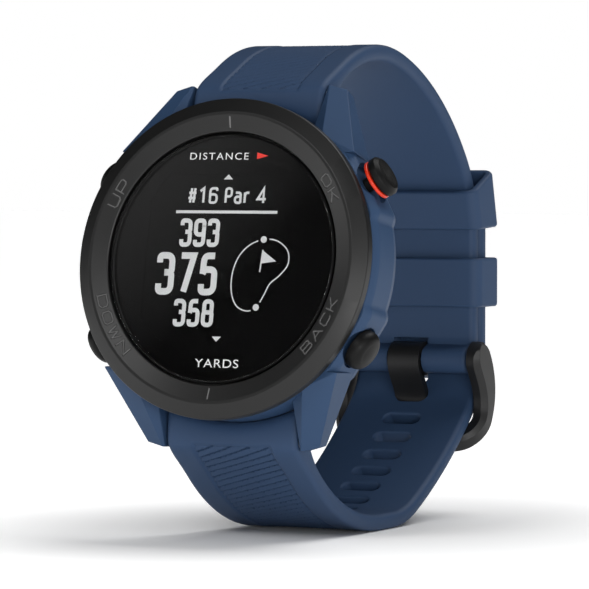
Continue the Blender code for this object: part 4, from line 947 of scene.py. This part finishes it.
def lettering(name, words, middle, width, height, spacing):
    """Flat white print scaled to a box of that width and height, centred on a point of the face."""
    curve = bpy.data.curves.new(name, "FONT")
    curve.body = words
    curve.space_character = spacing
    curve.resolution_u = 6
    curve.extrude = 0.01
    shown = link_object(name, curve)
    graph = bpy.context.evaluated_depsgraph_get()
    mesh = bpy.data.meshes.new_from_object(shown.evaluated_get(graph))
    bpy.data.objects.remove(shown)
    points = np.empty(len(mesh.vertices) * 3, np.float32)
    mesh.vertices.foreach_get("co", points)
    points = points.reshape(-1, 3).astype(float)
    low, high = points.min(0), points.max(0)
    points = (points - (low + high) / 2) / (high - low) * (width, height, INK_THICKNESS)
    points += (middle[0], middle[1], LENS_BOTTOM - 0.06)
    mesh.vertices.foreach_set("co", in_case(points).astype(np.float32).ravel())
    mesh.update()
    mesh.materials.clear()
    mesh.materials.append(white_print)
    made = link_object(name, mesh)
    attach(made, "watch")


def flat_shape(name, outline, level=INK_HEIGHT, finish=grey_ink):
    """A thin plate with any outline on the face."""
    made = solid(name, *prism(np.asarray(outline, float), 2, level, level + INK_THICKNESS, in_case), finish)
    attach(made, "watch")


# The display's own figures: centre lines in a box 1 wide and 1 high, drawn as strokes of one
# width with rounded bends, but for the figures of straight strokes.
SHARP_FIGURES = "714#"
FIGURES = {
    "3": [[(0, 0.8), (0, 1), (1, 1), (1, 0.53), (0.42, 0.53)],
          [(0.42, 0.53), (1, 0.53), (1, 0), (0, 0), (0, 0.22)]],
    "5": [[(0.95, 1), (0.12, 1), (0.06, 0.5)],
          [(0.06, 0.5), (0.2, 0.62), (1, 0.62), (1, 0), (0, 0), (0, 0.22)]],
    "7": [[(0, 1), (1, 1), (0.34, 0)]],
    "8": [[(0.5, 0.53), (0.05, 0.53), (0.05, 1), (0.95, 1), (0.95, 0.53), (0.5, 0.53)],
          [(0.5, 0.53), (0, 0.53), (0, 0), (1, 0), (1, 0.53), (0.5, 0.53)]],
    "9": [[(1, 0.75), (1, 1), (0, 1), (0, 0.42), (1, 0.42), (1, 0.75)], [(1, 0.72), (1, 0), (0, 0), (0, 0.2)]],
    "6": [[(0, 0.25), (0, 0), (1, 0), (1, 0.58), (0, 0.58), (0, 0.25)], [(0, 0.28), (0, 1), (1, 1), (1, 0.82)]],
    "1": [[(0.1, 0.8), (0.62, 1), (0.62, 0)]],
    "4": [[(0.74, 0), (0.74, 1), (0, 0.26), (1.05, 0.26)]],
    "#": [[(0.22, 0), (0.4, 1)], [(0.72, 0), (0.9, 1)],
          [(0.02, 0.68), (1.08, 0.68)], [(-0.06, 0.32), (1.0, 0.32)]],
    "P": [[(0, 0), (0, 1), (1, 1), (1, 0.44), (0, 0.44)]],
    "a": [[(0.08, 0.7), (0.95, 0.7), (0.95, 0)], [(0.95, 0.42), (0, 0.42), (0, 0), (0.95, 0), (0.95, 0.2)]],
    "r": [[(0.05, 0), (0.05, 0.72)], [(0.05, 0.45), (0.2, 0.7), (0.8, 0.7)]],
}


def stroke_band(line, stroke):
    """The rings of a flat stroke along a line. At a bend its edges meet on the line that halves it."""
    way = np.diff(line, axis=0)
    way /= np.linalg.norm(way, axis=1)[:, None]
    halved = np.vstack([way[:1], way[:-1] + way[1:], way[-1:]])
    halved /= np.linalg.norm(halved, axis=1)[:, None]
    lengthen = 1 / np.maximum(np.sum(halved * np.vstack([way[:1], way]), axis=1), 0.35)
    normal = np.stack([-halved[:, 1], halved[:, 0]], -1) * (lengthen * stroke / 2)[:, None]
    low, high = INK_HEIGHT, INK_HEIGHT + INK_THICKNESS
    return np.stack([np.insert(line - normal, 2, low, axis=1), np.insert(line + normal, 2, low, axis=1),
                     np.insert(line + normal, 2, high, axis=1), np.insert(line - normal, 2, high, axis=1)], 1)


def figures(name, words, left, bottom, width, height, stroke, pitch, bend):
    """Figures as flat strokes, the first at the left and the rest a pitch apart."""
    points, faces, total = [], [], 0
    for number, letter in enumerate(words):
        rounding = 0 if letter in SHARP_FIGURES else bend
        for line in FIGURES[letter]:
            corners = np.array(line) * (width - stroke, height - stroke)
            corners += (left + number * pitch + stroke / 2, bottom + stroke / 2)
            line = eased(corners, [0] + [rounding] * (len(corners) - 2), 9)
            line = line[np.concatenate([[True], np.linalg.norm(np.diff(line, axis=0), axis=1) > 1e-4])]
            points.append(stroke_band(line, stroke).reshape(-1, 3))
            faces += [[index + total for index in face] for face in capped_faces(len(line), 4)]
            total += len(points[-1])
    made = solid(name, in_case(np.vstack(points)), faces, grey_ink)
    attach(made, "watch")


figures("hole_number", "#16", -6.3, 7.5, 1.36, 2.3, 0.34, 1.62, 0.6)
figures("par_letters", "Par", -0.65, 7.5, 1.2, 2.3, 0.34, 1.42, 0.55)
figures("par_number", "4", 4.2, 7.5, 1.5, 2.3, 0.34, 1.4, 0.5)
figures("far_distance", "393", -7.05, 1.6, 1.84, 3.9, 0.60, 2.1, 0.85)
figures("middle_distance", "375", -10.2, -5.0, 2.8, 5.85, 0.90, 3.28, 1.3)
figures("near_distance", "358", -7.05, -9.3, 1.86, 3.8, 0.60, 2.14, 0.85)
flat_shape("underline", [(-7.9, 6.2), (7.5, 6.2), (7.5, 6.6), (-7.9, 6.6)])
flat_shape("scroll_up_mark", [(-1.0, 10.85), (0.4, 10.85), (-0.3, 11.55)])
flat_shape("scroll_down_mark", [(-0.9, -10.55), (-0.2, -11.25), (0.5, -10.55)])
lettering("top_print", "DISTANCE", (-1.85, 14.0), 8.9, 0.95, 1.25)
lettering("bottom_print", "YARDS", (0.25, -14.2), 6.6, 1.15, 1.1)
flat_shape("print_flag", [(3.9, 14.5), (5.6, 14.05), (3.9, 13.6)], PRINT_HEIGHT, red_print)

# The green: an outline through a few points, as a smooth closed ribbon, with two round marks and a flag.
green = np.array([
    (5.8, 2.7), (7.9, 2.5), (9.5, 1.2), (9.7, -0.6), (8.6, -2.1), (7.2, -3.3), (6.4, -4.9), (5.4, -6.5),
    (4.0, -7.0), (2.4, -6.3), (1.5, -4.4), (1.45, -1.9), (2.2, 0.3), (3.7, 1.9)])


def closed_ribbon(name, knots, width, steps=10):
    """A band of one width round a smooth closed line through the knots: between two knots the line
    is the cubic whose slope at each is half the run between its neighbours."""
    before, after, beyond = np.roll(knots, 1, 0), np.roll(knots, -1, 0), np.roll(knots, -2, 0)
    t = np.linspace(0, 1, steps + 1)[:-1][None, :, None]
    k, a, c, d = (item[:, None] for item in (before, knots, after, beyond))
    line = 0.5 * (2 * a + (c - k) * t + (2 * k - 5 * a + 4 * c - d) * t**2 + (3 * a - k - 3 * c + d) * t**3)
    line = line.reshape(-1, 2)
    run = np.roll(line, -1, 0) - np.roll(line, 1, 0)
    side = np.stack([run[:, 1], -run[:, 0]], -1) / np.linalg.norm(run, axis=1)[:, None] * width / 2
    made = flat_band(name, line - side, line + side, INK_HEIGHT, INK_HEIGHT + INK_THICKNESS, grey_ink)
    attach(made, "watch")


closed_ribbon("green_outline", green, 0.17)
GREEN_ENDS = {"far": (5.8, 2.7), "near": (5.4, -6.5)}
MARK_RADIUS, GAP_RADIUS = 0.46, 0.874
for end, middle in GREEN_ENDS.items():
    flat_shape(f"green_{end}_gap", circle(middle, GAP_RADIUS, 24), INK_HEIGHT + 0.003, panel_black)
for end, middle in GREEN_ENDS.items():
    flat_shape(f"green_{end}_mark", circle(middle, MARK_RADIUS, 24), INK_HEIGHT + 0.005)
flat_shape("green_flag", [(5.75, 1.25), (7.9, -0.25), (5.6, -0.55)])
flat_shape("green_flag_pole", [(5.7, 1.3), (5.9, 1.3), (5.65, -1.7), (5.45, -1.7)], INK_HEIGHT + 0.005)


# ------------------------------
# The buttons: black plastic caps on turned stems. Three are smooth domes close
# to the case. The one at 2 o'clock stands out further, has a fine stipple on
# its flat top, and an orange ring lies behind it.
CAP_RADIUS = 2.8
STEM_RADIUS = 1.0
STEM_END = 17.0
STIPPLE_PITCH, STIPPLE_HEIGHT = 0.42, 0.045
cap_black = moulded("cap_black", (0.005, 0.005, 0.005), 0.45, drift=0.05, bump=0.003, specular=0.16)
ring_orange = moulded("ring_orange", (0.75, 0.035, 0.008), 0.3, drift=0.04, bump=0.0)

for name, angle in BUTTONS.items():
    to_world = on_button(angle)
    if name == "ok":
        top, base = BOSS_FACE + 2.6, BOSS_FACE + 1.1
        corners = [(0, STEM_END), (STEM_RADIUS, STEM_END), (STEM_RADIUS, base), (CAP_RADIUS - 0.15, base),
                   (CAP_RADIUS, base + 0.2), (CAP_RADIUS, top - 0.55), (CAP_RADIUS - 0.5, top - 0.05),
                   (CAP_RADIUS - 0.7, top)]
        outline = eased(corners, [0, 0.1, 0, 0.1, 0.1, 0.35, 0.2, 0])
        face_radius = CAP_RADIUS - 0.7
        inward = np.linspace(face_radius, 0, 34)[1:]
        outline = np.vstack([outline, np.stack([inward, np.full(inward.shape, top)], -1)])
    else:
        top, base = BOSS_FACE + 1.95, BOSS_FACE - 0.1
        dome = np.radians(np.linspace(0, 90, 16))
        shell = np.stack([CAP_RADIUS - 1.3 + 1.3 * np.cos(dome), top - 1.45 + 1.3 * np.sin(dome)], -1)
        inward = np.linspace(CAP_RADIUS - 1.3, 0, 10)[1:]
        crown = np.stack([inward, top - 0.15 + 0.15 * (1 - (inward / (CAP_RADIUS - 1.3)) ** 2)], -1)
        outline = np.vstack([[(0, STEM_END), (STEM_RADIUS, STEM_END), (STEM_RADIUS, base), (CAP_RADIUS, base)],
                             shell, crown])
    grid = revolve(outline, full_turn(144))
    if name == "ok":
        r, h = outline.T
        flat = (h > top - 1e-6) & (r < face_radius)
        stipple = np.prod(np.cos(2 * math.pi * grid[..., :2] / STIPPLE_PITCH), axis=-1)
        grid[..., 2] += np.where(flat, STIPPLE_HEIGHT * stipple * smooth(0, 0.3, face_radius - r), 0)
    cap = solid(f"{name}_cap", to_world(grid), grid_faces(*grid.shape[:2], wrap_rows=True), cap_black, 50)
    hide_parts(f"{name}_button")
    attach(cap, f"{name}_button_body")

to_world = on_button(BUTTONS["ok"])
band = eased([(1.15, 22.75), (2.6, 22.75), (2.72, 22.85), (2.72, 23.15), (2.6, 23.25), (1.15, 23.25)],
             [0, 0.1, 0.1, 0.1, 0.1, 0])
accent = turned("orange_ring", band, ring_orange, 96, to_world)
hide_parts("ok_accent_ring")
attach(accent, "ok_button_body")


# ------------------------------
# The buckle: a black coated steel frame and prong that turn on one bar through
# the end of the short strap half. The frame's arms are bowed and faceted, and
# the prong is a flat strip rolled round the bar.
BAR_RADIUS = 0.75
ARM_INNER, ARM_OUTER = 10.3, 12.3
EYE_RADIUS = 2.7
CROSSBAR = np.array((58.83, -28.28))
FRAME_BOW = 2.7
PRONG_HALF_WIDTH = 2.5
PRONG_HALF_THICKNESS = 0.6
PRONG_OFFSET = 1.3
PRONG_EYE = 2.5
PRONG_ANGLE = math.radians(-92.76)
PRONG_LENGTH = 12.93

coated_steel = moulded(
    "coated_steel", (0.012, 0.012, 0.0125), 0.42, drift=0.06, grain=4000.0, bump=0.003, metallic=0.25)
bare_steel = moulded("bare_steel", (0.55, 0.55, 0.56), 0.3, drift=0.05, grain=4000.0, bump=0.002, metallic=1.0)

run = CROSSBAR - BUCKLE_BAR
bow_normal = np.array((-run[1], run[0])) / np.linalg.norm(run)
bow_control = (CROSSBAR + BUCKLE_BAR) / 2 + bow_normal * FRAME_BOW * 2
fine = np.linspace(0, 1, 400)[:, None]
bow_line = (1 - fine) ** 2 * BUCKLE_BAR + 2 * fine * (1 - fine) * bow_control + fine**2 * CROSSBAR
bow_gone = np.concatenate([[0], np.cumsum(np.linalg.norm(np.diff(bow_line, axis=0), axis=1))])
bow_length = bow_gone[-1]
bow_way = np.gradient(bow_line, axis=0)
bow_way /= np.linalg.norm(bow_way, axis=1)[:, None]


def on_bow(x, along, depth):
    """Places points given across the strap, along the bowed frame and out of its surface."""
    held = np.clip(along, 0, bow_length)
    point = np.stack([np.interp(held, bow_gone, bow_line[:, part]) for part in (0, 1)], -1)
    way = np.stack([np.interp(held, bow_gone, bow_way[:, part]) for part in (0, 1)], -1)
    way /= np.linalg.norm(way, axis=-1)[..., None]
    spot = point + way * (along - held)[..., None]
    out = np.stack([-way[..., 1], way[..., 0]], -1)
    spot = spot + out * depth[..., None]
    return in_loop(np.stack([x, spot[..., 0], spot[..., 1]], -1))


FRAME_CORNER = 4.2
FRAME_END_HALF_DEPTH = 1.45
ARM_HALF = (ARM_OUTER - ARM_INNER) / 2
arm_x = ARM_INNER + ARM_HALF
eye_turn = np.radians(np.linspace(-86, 0, 10))[:-1]
arm_along = np.concatenate([EYE_RADIUS * np.sin(eye_turn), np.linspace(0, bow_length - FRAME_CORNER, 24)])
corner_turn = np.radians(np.linspace(0, 90, 14))[1:]
cross_x = np.linspace(arm_x - FRAME_CORNER, 0, 6)[1:]
half_u_x = np.concatenate([
    np.full(arm_along.shape, arm_x), arm_x - FRAME_CORNER + FRAME_CORNER * np.cos(corner_turn), cross_x])
half_u_along = np.concatenate([
    arm_along, bow_length - FRAME_CORNER + FRAME_CORNER * np.sin(corner_turn), np.full(cross_x.shape, bow_length)])
half_u_normal = np.concatenate([
    np.zeros(arm_along.shape), corner_turn, np.full(cross_x.shape, math.pi / 2)])
u_x = np.concatenate([half_u_x, -half_u_x[::-1][1:]])
u_along = np.concatenate([half_u_along, half_u_along[::-1][1:]])
u_normal = np.concatenate([half_u_normal, math.pi - half_u_normal[::-1][1:]])
half_depth = np.where(u_along < 0, np.sqrt(np.maximum(EYE_RADIUS**2 - np.minimum(u_along, 0) ** 2, 0.03)),
                      EYE_RADIUS + (FRAME_END_HALF_DEPTH - EYE_RADIUS) * smooth(0, 0.95 * bow_length, u_along))
half_across = np.full(u_x.shape, ARM_HALF) + 0.25 * smooth(0.8 * bow_length, bow_length, u_along)
chamfer = np.minimum(0.8, 0.45 * half_depth)
ring_w = np.stack([-half_across, half_across - chamfer, half_across, half_across, half_across - chamfer,
                   -half_across], -1)
ring_d = np.stack([-half_depth, -half_depth, chamfer - half_depth, half_depth - chamfer, half_depth,
                   half_depth], -1)
frame_rings = on_bow(u_x[:, None] + ring_w * np.cos(u_normal)[:, None],
                     u_along[:, None] + ring_w * np.sin(u_normal)[:, None], ring_d)
buckle_frame = solid("buckle_loop", frame_rings, capped_faces(*frame_rings.shape[:2]), coated_steel, 24)
soften(buckle_frame, 0.16)
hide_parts("buckle_frame")
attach(buckle_frame, "buckle_frame_body")

# The leg leaves the wrist side of the eye and bends outward through the slot to the crossbar.
leg = np.linspace(0.4, PRONG_LENGTH, 30)
leg_start = PRONG_HALF_THICKNESS - PRONG_EYE
leg_middle = leg_start + (PRONG_OFFSET - leg_start) * smooth(0.3, 6.4, leg)
steep = np.gradient(leg_middle, leg)
sideways = np.stack([-steep, np.ones_like(steep)], -1) / np.hypot(1, steep)[:, None]
middle = np.stack([leg, leg_middle], -1)
outer_side = middle + sideways * PRONG_HALF_THICKNESS
inner_side = middle - sideways * PRONG_HALF_THICKNESS
eye = np.linspace(math.radians(-46), math.radians(268), 40)
outline = np.vstack([
    inner_side, [middle[-1] + (0.3, 0)], outer_side[::-1][:-5],
    PRONG_EYE * np.stack([np.cos(eye), np.sin(eye)], -1)])
forward = np.array((math.cos(PRONG_ANGLE), math.sin(PRONG_ANGLE)))
lift = np.array((-forward[1], forward[0]))
flat = BUCKLE_BAR + outline[:, :1] * forward + outline[:, 1:] * lift
prong = solid("buckle_tongue", *prism(flat, 0, -PRONG_HALF_WIDTH, PRONG_HALF_WIDTH, in_loop), coated_steel)
cut(prong, *rod_along_x(BUCKLE_BAR, BAR_RADIUS + 0.3, 4))
soften(prong, 0.22, 3)
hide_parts("buckle_prong")
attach(prong, "buckle_prong_body")


# ------------------------------
# The rest of the case: pieces that keep the shape of their solids and take a
# finish of their own kind.
KEPT = {
    "rear_cover": moulded("cover_black", (0.015, 0.015, 0.016), 0.4),
    "display_panel": panel_black,
    "battery": moulded("battery_foil", (0.45, 0.46, 0.48), 0.35, bump=0.004, metallic=0.8),
    "main_board": moulded("board_green", (0.01, 0.11, 0.05), 0.45, bump=0.003),
    "inner_chassis": moulded("chassis_black", (0.02, 0.02, 0.02), 0.55),
    "rear_seal": moulded("seal_black", (0.015, 0.015, 0.015), 0.7),
    "lens_adhesive": moulded("adhesive_black", (0.01, 0.01, 0.01), 0.7),
    "backlight_plate": moulded("diffuser_white", (0.75, 0.75, 0.72), 0.4),
    "display_flex": moulded("flex_amber", (0.55, 0.25, 0.04), 0.4),
    "shield_can": bare_steel,
    "gps_antenna": moulded("ceramic_cream", (0.65, 0.62, 0.52), 0.6),
    "contact_block": moulded("contact_black", (0.01, 0.01, 0.01), 0.5),
    "buckle_bar": bare_steel,
    "upper_spring_bar": bare_steel,
    "lower_spring_bar": bare_steel,
    "upper_release_pin": bare_steel,
    "lower_release_pin": bare_steel,
}
contact_gold = moulded("contact_gold", (0.85, 0.6, 0.22), 0.25, metallic=1.0)
for number in range(1, 5):
    KEPT[f"cover_screw_{number}"] = bare_steel
    KEPT[f"charge_contact_{number}"] = contact_gold
for name in BUTTONS:
    KEPT[f"{name}_button_seal"] = KEPT["rear_seal"]
    KEPT[f"{name}_button_clip"] = bare_steel
    KEPT[f"{name}_switch"] = KEPT["inner_chassis"]
for node, finish in KEPT.items():
    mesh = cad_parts[node].data
    mesh.materials.clear()
    mesh.materials.append(finish)
